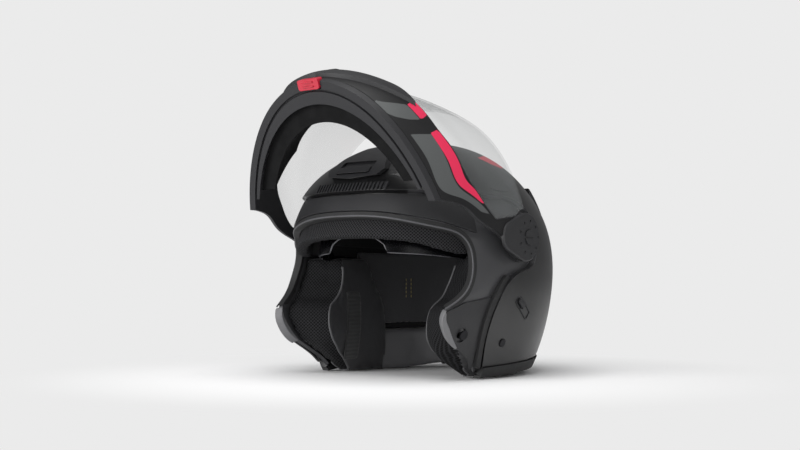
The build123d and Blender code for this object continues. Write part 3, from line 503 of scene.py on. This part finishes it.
port_trim = thick_sheet("port_trim", shell_surface, trim_keep, trim_inset, trim_depth, port_turns, port_angles)
bumper = thick_sheet("jaw_bumpers", shell_surface, bumper_keep, bumper_inset, bumper_depth, port_turns,
                     bumper_angles)
for piece in (port_trim, bumper):
    round_edges(piece, "extruded_edge")
    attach(piece, "shell")
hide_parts("face_port_trim")
paint(port_trim, epdm)
# The lip runs along the port's edge on the shell's form: x = (w - inset) (1 - s^n)^(1/n). Here s is a point's
# distance from the head's centre in the side view, as a share of the profile's radius less the inset.
fine_port = smooth_run(decimetre * np.array(port_points), 300)
reach = np.hypot(fine_port[:, 0], fine_port[:, 1] - head_centre)
at_angle = np.degrees(np.arctan2(fine_port[:, 1] - head_centre, -fine_port[:, 0]))
share = reach / (shell_surface.profile(at_angle) - lip_inset)
on_shell = share < 1
lip_x = (shell_half_width - lip_inset) * (1 - share[on_shell] ** shell_squareness) ** (1 / shell_squareness)
half_lip = np.column_stack([lip_x, fine_port[on_shell]])
gone = np.append(0, np.cumsum(np.linalg.norm(np.diff(half_lip, axis=0), axis=1)))
even = np.arange(0, gone[-1], lip_spacing)
half_lip = np.column_stack([np.interp(even, gone, half_lip[:, axis]) for axis in range(3)])
highlight_lip = tube("port_trim_highlight_lip", np.vstack([half_lip[::-1], half_lip * (-1, 1, 1)]), lip_radius)
# Grey EPDM, smoother than the black profile: a thin pale line, a painted highlight along the trim's edge.
lip_highlight_rubber = grained_material("pale_grey_epdm_lip_painted_highlight", "#47474a", 0.5, patch_mm=20, spread=(0.42, 0.55),
                              grain_mm=1.2, depth_mm=0.05, strength=0.3, IOR=1.5)
paint(highlight_lip, lip_highlight_rubber)
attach(highlight_lip, "shell")
# Moulded bumper rubber in a lighter satin grey, a painted highlight on the jaw covers' front edges, that takes a
# soft shine on its swell.
bumper_highlight_rubber = grained_material("satin_grey_bumper_painted_highlight", "#68686a", 0.45, patch_mm=15,
                                 spread=(0.38, 0.5), grain_mm=1.0, depth_mm=0.04, strength=0.3, IOR=1.5)
paint(bumper, bumper_highlight_rubber)


# Foam liner: one block of moulded expanded polystyrene, seen only between the pads, its beads just visible.
# It is pressed into the shell, and the comfort pads snap onto it. The beads are 3.5 mm across.
def relief(material, shader, kind, settings, reading, strength, depth_mm, invert=False):
    """A relief of a real depth, from one pattern node on the piece's own coordinates."""
    place = add_node(material, "ShaderNodeTexCoord")
    pattern = add_node(material, kind, settings, {"Vector": place.outputs["Object"]})
    bump = add_node(material, "ShaderNodeBump",
                    {"Strength": strength, "Distance": depth_mm * MM, "invert": invert},
                    {"Height": pattern.outputs[reading]})
    wire(material, bump.outputs["Normal"], shader.inputs["Normal"])


bead_mm = 3.5
bead_foam, foam_shader = new_material("expanded_polystyrene_beads", "#121213", 0.8, IOR=1.4)
relief(bead_foam, foam_shader, "ShaderNodeTexVoronoi", {"Scale": 1000 / bead_mm}, "Distance", strength=0.5,
       depth_mm=0.3, invert=True)
paint(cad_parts["impact_liner"], bead_foam)


# Sun lens: one injection-moulded polycarbonate lens with a grey tint and a hard coat, parked up inside the
# shell on its two pins. Its lower edge is polished round, and a paler bead along it is a painted highlight.
def see_through(material, shader, face_on, edge_on):
    """Cover of a clear sheet: low face on, and rising towards its edges, where one looks along more plastic."""
    facing = add_node(material, "ShaderNodeLayerWeight", {"Blend": 0.35})
    cover = add_node(material, "ShaderNodeMapRange",
                     {"From Min": 0.0, "From Max": 1.0, "To Min": face_on, "To Max": edge_on},
                     {"Value": facing.outputs["Facing"]})
    wire(material, cover.outputs["Result"], shader.inputs["Alpha"])


# Tinted, hard-coated polycarbonate: almost black face on, with no mirror image of the lamps.
tint, tint_shader = new_material("tinted_polycarbonate", "#08080a", 0.25, Specular_IOR_Level=0.12)
mottle(tint, tint_shader, size_mm=40, low=0.22, high=0.3)
see_through(tint, tint_shader, face_on=0.8, edge_on=1.0)
paint(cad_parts["sun_lens"], tint)
# The bead follows the lens's lowest points, taken every few degrees of bearing from the head's middle.
bead_bearing, bead_step, bearing_within, height_within, bead_radius = 56, 4, 3, 1.5, 0.8
place = vertex_places(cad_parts["sun_lens"].data) / MM
bearing = np.degrees(np.arctan2(place[:, 0], -place[:, 1]))
lens_edge = []
for way in range(-bead_bearing, bead_bearing + 1, bead_step):
    near = place[np.abs(bearing - way) < bearing_within]
    lens_edge.append(near[near[:, 2] < near[:, 2].min() + height_within].mean(0))
edge_bead = tube("sun_lens_edge", np.array(lens_edge), bead_radius)
# Painted highlight: the light that a polished edge gathers from the sheet behind it, as a mid grey, smooth bead.
bead_highlight, bead_shader = new_material("polished_edge_painted_highlight", "#4c4c50", 0.3, IOR=1.586)
mottle(bead_highlight, bead_shader, size_mm=20, low=0.25, high=0.35)
paint(edge_bead, bead_highlight)
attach(edge_bead, "sun_lens")

# Comfort pads: cut foam in sewn covers, made full by a short cloth simulation with air pressure inside. The
# cheek pads' face side is an open spacer mesh, joined by piping to leatherette. The others are brushed knit,
# ribbed mesh at the brow, and a leatherette roll at the neck.


def sort_faces(piece, choose):
    """Gives each face the material slot that choose(centres, normals) names."""
    count = len(piece.data.polygons)
    centre, normal = np.empty(count * 3), np.empty(count * 3)
    piece.data.polygons.foreach_get("center", centre)
    piece.data.polygons.foreach_get("normal", normal)
    slots = choose(centre.reshape(-1, 3) / MM, normal.reshape(-1, 3))
    piece.data.polygons.foreach_set("material_index", slots.astype(np.int32))


def evaluated_mesh(piece):
    """A new mesh of the piece as its modifiers shape it."""
    return bpy.data.meshes.new_from_object(piece.evaluated_get(bpy.context.evaluated_depsgraph_get()))


def soft_copy(name, node, looks, voxel_mm, pressure, limit_mm, frames=18, shrink_mm=0.8, choose=None,
              floor_gap_mm=0.1):
    """A copy of the node's solid, remeshed, drawn in a little, then blown up as cloth. No point moves further
    than the limit, or down to the floor. Faces get their material before the shape swells."""
    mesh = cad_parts[node].data.copy()
    mesh.name = name
    piece = bpy.data.objects.new(name, mesh)
    scene.collection.objects.link(piece)
    work = bmesh.new()
    work.from_mesh(mesh)
    bmesh.ops.remove_doubles(work, verts=work.verts, dist=1e-6)
    work.to_mesh(mesh)
    work.free()
    remesh = piece.modifiers.new("remesh", "REMESH")
    remesh.mode = "VOXEL"
    remesh.voxel_size = voxel_mm * MM
    ease = piece.modifiers.new("ease", "SMOOTH")
    ease.factor = 0.5
    ease.iterations = 3
    draw_in = piece.modifiers.new("draw_in", "DISPLACE")
    draw_in.strength = -shrink_mm * MM
    draw_in.mid_level = 0.0
    shape = evaluated_mesh(piece)
    piece.modifiers.clear()
    piece.data = shape
    paint(piece, *looks)
    if choose:
        sort_faces(piece, choose)
    start = vertex_places(shape)
    cloth = piece.modifiers.new("blow_up", "CLOTH")
    cloth.settings.use_pressure = True
    cloth.settings.uniform_pressure_force = pressure
    cloth.settings.effector_weights.gravity = 0.0
    cloth.settings.quality = 4
    cloth.settings.tension_stiffness = 25
    cloth.settings.compression_stiffness = 25
    cloth.settings.bending_stiffness = 2
    cloth.point_cache.frame_start = 1
    cloth.point_cache.frame_end = frames
    for step in range(1, frames + 1):
        scene.frame_set(step)
    end = vertex_places(evaluated_mesh(piece))
    piece.modifiers.clear()
    scene.frame_set(1)
    if len(end) == len(start):
        move = end - start
        length = np.linalg.norm(move, axis=1, keepdims=True)
        place = start + move * np.minimum(1, limit_mm * MM / np.maximum(length, 1e-9))
        place[:, 2] = np.maximum(place[:, 2], floor_gap_mm * MM)
        shape.vertices.foreach_set("co", place.ravel())
    shape.polygons.foreach_set("use_smooth", np.ones(len(shape.polygons), bool))
    shape.update()
    return piece


def spacer_mesh_material(name, thread, gap, pitch_mm, round_mm=None):
    """Warp-knitted spacer fabric, whose holes stand in a diamond grid: sin(pi (s + z) / p) sin(pi (s - z) / p)
    is high in them. Here z is the height and p the pitch, and s is the way round the head at round_mm from its
    middle or, without that, the distance out from the middle. Real holes are 1 to 2 mm apart: they are drawn
    about twice as coarse, so that they show."""
    material, shader = new_material(name, thread, 0.85, Specular_IOR_Level=0.15)
    place = add_node(material, "ShaderNodeTexCoord")
    part = add_node(material, "ShaderNodeSeparateXYZ", None, {0: place.outputs["Object"]})
    if round_mm:
        forward = add_node(material, "ShaderNodeMath", {"operation": "MULTIPLY", 1: -1.0},
                           {0: part.outputs["Y"]})
        bearing = add_node(material, "ShaderNodeMath", {"operation": "ARCTAN2"},
                           {0: part.outputs["X"], 1: forward.outputs["Value"]})
        way = add_node(material, "ShaderNodeMath", {"operation": "MULTIPLY", 1: round_mm * MM},
                       {0: bearing.outputs["Value"]})
    else:
        level = add_node(material, "ShaderNodeVectorMath", {"operation": "MULTIPLY", 1: (1.0, 1.0, 0.0)},
                         {0: place.outputs["Object"]})
        way = add_node(material, "ShaderNodeVectorMath", {"operation": "LENGTH"},
                       {0: level.outputs["Vector"]})
    waves = []
    for operation in ("ADD", "SUBTRACT"):
        total = add_node(material, "ShaderNodeMath", {"operation": operation},
                         {0: way.outputs["Value"], 1: part.outputs["Z"]})
        phase = add_node(material, "ShaderNodeMath", {"operation": "MULTIPLY", 1: np.pi / (pitch_mm * MM)},
                         {0: total.outputs["Value"]})
        waves.append(add_node(material, "ShaderNodeMath", {"operation": "SINE"},
                              {0: phase.outputs["Value"]}))
    product = add_node(material, "ShaderNodeMath", {"operation": "MULTIPLY"},
                       {0: waves[0].outputs["Value"], 1: waves[1].outputs["Value"]})
    size = add_node(material, "ShaderNodeMath", {"operation": "ABSOLUTE"}, {0: product.outputs["Value"]})
    hole = add_node(material, "ShaderNodeMapRange", {"From Min": 0.25, "From Max": 0.6},
                    {"Value": size.outputs["Value"]})
    mix = add_node(material, "ShaderNodeMix", {"data_type": "RGBA"}, {0: hole.outputs["Result"]})
    mix.inputs[mix_under].default_value = linear(thread)
    mix.inputs[mix_over].default_value = linear(gap)
    wire(material, mix.outputs[mix_result], shader.inputs["Base Color"])
    bump = add_node(material, "ShaderNodeBump", {"Strength": 0.8, "Distance": 0.8 * MM, "invert": True},
                    {"Height": hole.outputs["Result"]})
    wire(material, bump.outputs["Normal"], shader.inputs["Normal"])
    return material


# Dark grey yarn over black holes: a fine open net.
face_mesh = spacer_mesh_material("knitted_spacer_mesh", "#262628", "#020202", 3.4)
rib_mesh = spacer_mesh_material("ribbed_brow_mesh", "#323234", "#020202", 3.0, round_mm=108.0)
# Brushed knit: a soft nap, dull face on and paler where one looks along it. Real tufts are finer than these.
tuft_mm = 1.4
knit, knit_shader = new_material("brushed_polyester_knit", "#3a3a3c", 0.9, Sheen_Weight=0.35,
                                 Sheen_Roughness=0.4)
relief(knit, knit_shader, "ShaderNodeTexNoise", {"Scale": 1000 / tuft_mm, "Detail": 4.0}, "Fac", strength=0.5,
       depth_mm=0.4)
# The same knit in black: no light comes back from the crown.
dark_knit = grained_material("black_brushed_knit", "#121213", 0.9, patch_mm=12, spread=(0.85, 0.95),
                             grain_mm=1.4, depth_mm=0.3, strength=0.5, Specular_IOR_Level=0.2)
# Embossed leatherette: a low satin shine broken by a leather grain.
skin_cloth = grained_material("embossed_leatherette", "#2c2c2e", 0.5, patch_mm=25, spread=(0.42, 0.58),
                              grain_mm=1.6, depth_mm=0.15, strength=0.4, Sheen_Weight=0.1, IOR=1.45)
roll_cloth = grained_material("satin_grey_leatherette", "#5e5e60", 0.45, patch_mm=25, spread=(0.38, 0.52),
                              grain_mm=1.6, depth_mm=0.15, strength=0.4, Sheen_Weight=0.1, IOR=1.45)
# Bias-bound piping: a slightly paler line round the mesh.
piping_cloth = grained_material("bias_bound_piping", "#4a4a4c", 0.6, patch_mm=10, spread=(0.5, 0.7),
                                grain_mm=1.0, depth_mm=0.1, strength=0.4, Sheen_Weight=0.1)
fill_point, fill_reach, fill_push = np.array((80, -50, 22)), 48, np.array((-8.0, -10.0, 0.0))
held_from, held_over = 94, 16
piping_radius, piping_half_width, piping_top = 1.1, 84, 112
mesh_faces_forward = -0.45


def seam_path(piece, first, second, passes=10):
    """The longest run of edges between faces of two material slots, evened out by averaging neighbours."""
    work = bmesh.new()
    work.from_mesh(piece.data)
    links = {}
    for edge in work.edges:
        if {face.material_index for face in edge.link_faces} == {first, second}:
            a, b = edge.verts
            links.setdefault(a.index, []).append(b.index)
            links.setdefault(b.index, []).append(a.index)
    place = np.array([v.co for v in work.verts]) / MM
    work.free()
    left, best = set(links), []
    while left:
        ends = [v for v in left if len(links[v]) == 1] or sorted(left)
        walk = [min(ends)]
        left.discard(walk[0])
        while True:
            following = [v for v in links[walk[-1]] if v in left]
            if not following:
                break
            walk.append(following[0])
            left.discard(walk[-1])
        best = max(best, walk, key=len)
    path = place[best]
    for _ in range(passes):
        path[1:-1] = (path[:-2] + 2 * path[1:-1] + path[2:]) / 4
    return path


def fill_out(piece, sign):
    """Pushes the lower front of a cheek pad, and what lies on it, in and forwards by up to 13 mm. The push is
    full at the fill point and falls to nothing at the fill's reach, as (1 - s^2)^2 with s the distance's share
    of that reach. It also fades out towards the pad's outer side, which stays on the shell."""
    place = vertex_places(piece.data) / MM
    away = np.linalg.norm(place - fill_point * (sign, 1, 1), axis=1, keepdims=True) / fill_reach
    free = np.clip((held_from - np.abs(place[:, :1])) / held_over, 0, 1)
    place += free * np.clip(1 - away ** 2, 0, None) ** 2 * (fill_push * (sign, 1, 1))
    piece.data.vertices.foreach_set("co", (place * MM).ravel())
    piece.data.update()


for side, sign in (("left", 1), ("right", -1)):
    cheek = soft_copy(f"cheek_cushion_{side}", f"cheek_pad_{side}", (skin_cloth, face_mesh),
                      voxel_mm=3.2, pressure=3.0, limit_mm=2.2, choose=lambda p, n: n[:, 1] < mesh_faces_forward)
    fill_out(cheek, sign)
    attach(cheek, "shell")
    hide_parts(f"cheek_pad_{side}")
    seam = seam_path(cheek, 0, 1)
    inner = seam[(np.abs(seam[:, 0]) < piping_half_width) & (seam[:, 2] < piping_top)]
    piping = tube(f"cheek_piping_{side}", inner, piping_radius)
    paint(piping, piping_cloth)
    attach(piping, "shell")
for name, node, material, voxel, fill in (
        ("brow_cushion", "brow_pad", rib_mesh, 2.6, 0.7),
        ("crown_cushion", "crown_pad", dark_knit, 3.0, 0.5),
        ("nape_cushion", "nape_pad", knit, 3.0, 0.5),
        ("neck_roll_cushion", "neck_roll", roll_cloth, 3.4, 0.8)):
    pad = soft_copy(name, node, (material,), voxel_mm=voxel, pressure=2.5, limit_mm=1.6)
    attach(pad, "shell")
    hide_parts(node)

# Seam stitches: two short rows of waxed thread on each side of the nape pad, sewn through its knit cover and
# left proud of it. Each row goes straight from its top to its foot.
stitch_rows = (((67.6, 69.8, 98.9), (66.0, 67.7, 76.7)), ((64.5, 74.8, 98.9), (62.9, 72.7, 76.7)))
stitches_a_row = 5
half_length, half_width, half_height = 1.5, 0.45, 0.5
off_the_pad = np.array((-0.87, -0.48, 0.1))
box_faces = np.array(((0, 1, 3, 2), (4, 6, 7, 5), (0, 4, 5, 1), (2, 3, 7, 6), (0, 2, 6, 4), (1, 5, 7, 3)))
# Waxed polyester thread: dull ochre against the grey knit.
stitch_thread = grained_material("waxed_polyester_thread", "#8d8460", 0.7, patch_mm=3, spread=(0.6, 0.8),
                                 grain_mm=0.6, depth_mm=0.1, strength=0.3)
stitch_points, stitch_faces = [], []
for sign in (1, -1):
    for row in stitch_rows:
        top, foot = np.array(row) * (sign, 1, 1)
        along = (foot - top) / np.linalg.norm(foot - top)
        outward = off_the_pad * (sign, 1, 1)
        across = np.cross(along, outward)
        for stitch in range(stitches_a_row):
            middle = top + (foot - top) * (stitch + 0.5) / stitches_a_row
            corners = [middle + half_length * a * along + half_width * b * across + half_height * c * outward
                       for a in (-1, 1) for b in (-1, 1) for c in (-1, 1)]
            stitch_faces += (box_faces + len(stitch_points)).tolist()
            stitch_points += corners
stitches = finish_mesh("nape_stitches", stitch_points, stitch_faces, sharp=60)
paint(stitches, stitch_thread)
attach(stitches, "shell")

# Chin straps: polyester webbing, woven with cross ribs, folded flat against the cheek pads and riveted to the
# shell. A Wave texture repeats every pi / 10 of its unit, so the ribs are 3.9 mm apart: about twice the real
# spacing, so that they show.
web_wave_mm = 12.56
webbing, webbing_shader = new_material("polyester_webbing", "#1d1d1e", 0.8, Sheen_Weight=0.2)
relief(webbing, webbing_shader, "ShaderNodeTexWave",
       {"Scale": 1000 / web_wave_mm, "bands_direction": "Z"}, "Fac", strength=0.6, depth_mm=0.4)
for side, sign in (("left", 1), ("right", -1)):
    strap = soft_copy(f"webbing_{side}", f"chin_strap_{side}", (webbing,), voxel_mm=1.2, pressure=0.1,
                      limit_mm=0.2, frames=3, shrink_mm=0.0)
    fill_out(strap, sign)
    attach(strap, "shell")
    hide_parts(f"chin_strap_{side}")

# Chin bar: a hollow moulding in matte ABS whose arms end in discs on the main hinge, kept turned up. Its outer
# face is masked and sprayed with plain red stripes and grey panels, a skin of lacquer 0.12 mm thick. A brushed
# black lining is glued inside it.
hinge_y, hinge_z, disc_clear = 3.0, 137.0, 27.5
open_angle = 77.5
chin_rim_front, chin_rim_back, chin_rim_start, chin_rim_run, chin_rim_height = -5.0, 31.1, -230.0, 280.0, 6.0
film_mm, film_root, film_margin = 0.12, 0.5, 0.8
pocket_half_width, pocket_y, pocket_half_depth, pocket_top = 13.3, -169.5, 6.2, 9.4
panel_from = 66
face_surface = head_form(132.5, 138, (-90, -66, -40, -26, -12, -3, 11, 23, 45, 90, 135, 180, 225), (
    1.38, 1.565, 1.493, 1.428, 1.196, 1.112, 1.04, 1.018, 1.011, 0.993, 1.05, 1.123, 1.268), 2.0)
chin_top = smooth_run(decimetre * np.array((
    (-2.2, 0.70), (-1.66, 0.66), (-1.53, 0.60), (-1.28, 0.55), (-1.14, 0.55), (-0.99, 0.59), (-0.78, 0.62),
    (-0.63, 0.655), (-0.52, 0.71), (-0.38, 0.78), (-0.23, 0.89))))
chin_back = smooth_run(decimetre * np.array((
    (-0.03, 0.98), (-0.16, 0.79), (-0.28, 0.63), (-0.41, 0.51), (-0.49, 0.35), (-0.53, 0.20), (-0.535, -0.1))))
chin_outline = np.vstack([chin_top, [(-19.5, 128), (24, 128)], chin_back, [(-220, -10)]])


def raise_points(points):
    """Turns points of the shut chin bar up about the hinge line, to where the part is kept."""
    angle = np.radians(-open_angle)
    y, z = points[..., 1] - hinge_y, points[..., 2] - hinge_z
    return np.stack([points[..., 0], hinge_y + y * np.cos(angle) - z * np.sin(angle),
                     hinge_z + y * np.sin(angle) + z * np.cos(angle)], -1)


def over_chin_rim(y, z, lift=0.0):
    """Height over the plane of the shut chin bar's lower rim, less a lift."""
    slope = (chin_rim_back - chin_rim_front) / chin_rim_run
    return z - lift - (chin_rim_front + slope * (y - chin_rim_start))


def within_disc(y, z):
    """How far a point of the side view lies inside the room kept for the hinge's disc."""
    return disc_clear - np.hypot(y - hinge_y, z - hinge_z)


def chin_keep(p):
    """Negative within the chin bar's outline, over its rim and outside the hinge's disc."""
    y, z = p[..., 1], p[..., 2]
    return np.maximum.reduce([outside_by(chin_outline, y, z), -over_chin_rim(y, z, chin_rim_height),
                              within_disc(y, z)])


def film_keep(p):
    """The lacquer's outline: a margin within the moulding's, and clear of the release button's pocket."""
    pocket = np.maximum.reduce([np.abs(p[..., 0]) - pocket_half_width,
                                np.abs(p[..., 1] - pocket_y) - pocket_half_depth,
                                over_chin_rim(p[..., 1], p[..., 2]) - pocket_top])
    return np.maximum(chin_keep(p) + film_margin, -pocket)


chin_turns = np.linspace(-90, 90, 181)
chin_shell = thick_sheet("chin_bar_paint", face_surface, film_keep, -film_mm, film_root, chin_turns,
                         np.arange(-100, 40, 0.8), sharp=40)
grey_panel_front = np.array(((-160, 12), (-146, 17), (-140, 39), (-125, 41), (-127, 29), (-131, 19),
                             (-140, 8)), float)
grey_panel_side = np.vstack([
    smooth_run(((-111, 43), (-97, 45.5), (-83, 46.5), (-70, 46.5), (-61, 49), (-52, 58), (-41, 71), (-30, 80))),
    smooth_run(((-34, 69), (-51, 47), (-62, 28), (-87, 26), (-103, 24), (-114, 22)))])
red_front = np.array(((-143, 56), (-140, 40), (-125, 42), (-128, 54)), float)
red_side = np.vstack([
    smooth_run(((-114, 54), (-105, 56), (-92, 59), (-78, 60), (-65, 61), (-58, 66), (-50, 72), (-40, 78))),
    smooth_run(((-42, 72), (-54, 59), (-63, 50), (-70, 48), (-83, 48), (-96, 46), (-112, 43)))])
stripe_attribute(chin_shell, "front_panel", lambda p: np.maximum(
    outside_by(grey_panel_front, p[:, 1], p[:, 2]), panel_from - np.abs(p[:, 0])))
for name, outline in (("side_panel", grey_panel_side), ("front_stripe", red_front), ("side_stripe", red_side)):
    stripe_attribute(chin_shell, name, lambda p: outside_by(outline, p[:, 1], p[:, 2]))
raised = raise_points(vertex_places(chin_shell.data) / MM) * MM
chin_shell.data.vertices.foreach_set("co", raised.ravel())
# Matte lacquer: it dulls the moulding's grain, and the sprayed stripes are flat in colour with sharp edges.
chin_paint, chin_shader = new_material("matte_lacquer_with_stripes", "#141415", 0.5, Specular_IOR_Level=0.3)
chin_place = mottle(chin_paint, chin_shader, size_mm=45, low=0.42, high=0.55)
grain(chin_paint, chin_shader, chin_place, size_mm=0.6, depth_mm=0.03, strength=0.25)
chin_colour = painted(chin_paint, "#161617", [
    ("front_panel", "#505252"), ("side_panel", "#505252"), ("front_stripe", "#d62c52"),
    ("side_stripe", "#d62c52")])
wire(chin_paint, chin_colour, chin_shader.inputs["Base Color"])
paint(chin_shell, chin_paint)
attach(chin_shell, "chin_bar")
# Brushed lining cloth: a black that gives back almost no light.
lining_cloth = grained_material("black_brushed_lining", "#060607", 0.9, patch_mm=12, spread=(0.75, 0.9),
                                grain_mm=1.3, depth_mm=0.2, strength=0.4, edge_mm=1.5,
                                Specular_IOR_Level=0.2)
paint(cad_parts["chin_lining"], lining_cloth)

# Release button: a moulded red button with two ribs for the thumb, sprung in its pocket in the middle of the
# chin bar's rim. Smooth moulded ABS in solid red, with a soft shine along its ribs.
red_abs = grained_material("moulded_red_abs", "#ad1b31", 0.35, patch_mm=10, spread=(0.3, 0.42),
                           grain_mm=0.8, depth_mm=0.04, strength=0.3, IOR=1.5)
paint(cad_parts["release_button"], red_abs)

# Visor: one clear injection-moulded polycarbonate sheet, 2 mm thick, on the same pivots as the chin bar. It
# stands a little off the chin bar's top edge, where its rubber seal is.
visor_gap, visor_thickness, visor_edge_gap = 0.3, 2.0, 1.0
visor_top = smooth_run(decimetre * np.array((
    (-2.2, 1.74), (-1.25, 1.685), (-1.05, 1.62), (-0.87, 1.565), (-0.70, 1.52), (-0.50, 1.475),
    (-0.22, 1.45))))
visor_outline = np.vstack([chin_top, [(-21, 124), (3, 124), (3, 150)], visor_top[::-1]])


def visor_keep(p):
    """Negative within the visor's outline, clear of the chin bar and outside the hinge's disc."""
    y, z = p[..., 1], p[..., 2]
    return np.maximum.reduce([outside_by(visor_outline, y, z),
                              visor_edge_gap - outside_by(chin_outline, y, z), within_disc(y, z)])


visor_sheet = thick_sheet("visor_sheet", face_surface, visor_keep, visor_gap, visor_gap + visor_thickness,
                          chin_turns, np.arange(-50, 60, 0.8), finish=raise_points, sharp=40)
# Clear polycarbonate: nearly unseen face on, with crisp reflections. Its thin grey veil towards the edges is a
# painted reflection, the stronger shine of a clear sheet at a glancing angle.
clear_sheet, clear_shader = new_material("clear_polycarbonate_painted_edge_sheen", "#939797", 0.04, IOR=1.586)
mottle(clear_sheet, clear_shader, size_mm=50, low=0.03, high=0.06)
# The pale grey cover that rises towards the edges is a painted reflection.
see_through(clear_sheet, clear_shader, face_on=0.02, edge_on=0.34)
paint(visor_sheet, clear_sheet)
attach(visor_sheet, "visor")
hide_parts("visor")

# Studio: the camera at the photograph's place and angle, a paper floor that runs into a pale backdrop and keeps
# the helmet's shadow, and four soft lamps. Lengths are in metres here.
camera_distance, camera_height, view_angle = 1.277, 0.09, np.radians(37.0)
camera_data = bpy.data.cameras.new("camera")
camera_data.lens = 55.76
camera_data.sensor_width = 36.0
camera_data.shift_x = -0.02125
camera_data.shift_y = 0.07625
camera_data.clip_end = 60.0
camera = bpy.data.objects.new("camera", camera_data)
camera.location = (camera_distance * np.sin(view_angle), -camera_distance * np.cos(view_angle), camera_height)
camera.rotation_euler = (np.radians(90), 0, view_angle)
scene.collection.objects.link(camera)
scene.camera = camera
scene.view_settings.view_transform = "Standard"

backdrop_grey, floor_half, shadow_within, backdrop_from = "#ebebeb", 20, 0.17, 0.42
floor_mesh = bpy.data.meshes.new("floor")
floor_mesh.from_pydata([(-floor_half, -floor_half, 0), (floor_half, -floor_half, 0),
                        (floor_half, floor_half, 0), (-floor_half, floor_half, 0)], [], [(0, 1, 2, 3)])
floor = bpy.data.objects.new("floor", floor_mesh)
scene.collection.objects.link(floor)
# Matte paper near the helmet. Further out, only the camera sees it as plain as the backdrop.
pale_floor, floor_shader = new_material("pale_paper_floor", "#f7f7f7", 0.9)
floor_place = add_node(pale_floor, "ShaderNodeTexCoord")
away = add_node(pale_floor, "ShaderNodeVectorMath", {"operation": "LENGTH"},
                {0: floor_place.outputs["Object"]})
fade = add_node(pale_floor, "ShaderNodeMapRange",
                {"From Min": shadow_within, "From Max": backdrop_from, "interpolation_type": "SMOOTHSTEP"},
                {"Value": away.outputs["Value"]})
glow = add_node(pale_floor, "ShaderNodeEmission", {"Color": linear(backdrop_grey)})
floor_rays = add_node(pale_floor, "ShaderNodeLightPath")
shown = add_node(pale_floor, "ShaderNodeMath", {"operation": "MULTIPLY"},
                 {0: fade.outputs["Result"], 1: floor_rays.outputs["Is Camera Ray"]})
both = add_node(pale_floor, "ShaderNodeMixShader", None,
                {0: shown.outputs["Value"], 1: floor_shader.outputs[0], 2: glow.outputs[0]})
wire(pale_floor, both.outputs[0], pale_floor.node_tree.nodes["Material Output"].inputs["Surface"])
paint(floor, pale_floor)

world = bpy.data.worlds.new("studio")
scene.world = world
world.use_nodes = True
room_light = world.node_tree.nodes["Background"]
room_light.inputs["Color"].default_value = (0.75, 0.75, 0.76, 1)
room_light.inputs["Strength"].default_value = 0.3
backdrop = add_node(world, "ShaderNodeBackground", {"Color": linear(backdrop_grey)})
rays = add_node(world, "ShaderNodeLightPath")
blend = add_node(world, "ShaderNodeMixShader", None,
                 {0: rays.outputs["Is Camera Ray"], 1: room_light.outputs[0], 2: backdrop.outputs[0]})
wire(world, blend.outputs[0], world.node_tree.nodes["World Output"].inputs["Surface"])
for name, place, aim, size, power in (
        ("top_softbox", (0.2, -0.5, 1.6), (0, 0, 0.15), 1.2, 20),
        ("front_softbox", (-0.6, -1.85, 0.55), (0, 0, 0.12), 0.9, 26),
        ("fill_softbox", (1.25, -1.5, 0.3), (0, 0, 0.1), 0.9, 9),
        ("side_wall", (2.0, -0.3, 1.0), (0, 0, 0.4), 2.0, 8)):
    lamp_data = bpy.data.lights.new(name, "AREA")
    lamp_data.size = size
    lamp_data.energy = power
    lamp = bpy.data.objects.new(name, lamp_data)
    lamp.location = place
    way = np.array(aim) - np.array(place)
    tilt = np.arctan2(np.hypot(way[0], way[1]), -way[2])
    lamp.rotation_euler = (tilt, 0, np.arctan2(way[1], way[0]) - np.pi / 2)
    scene.collection.objects.link(lamp)
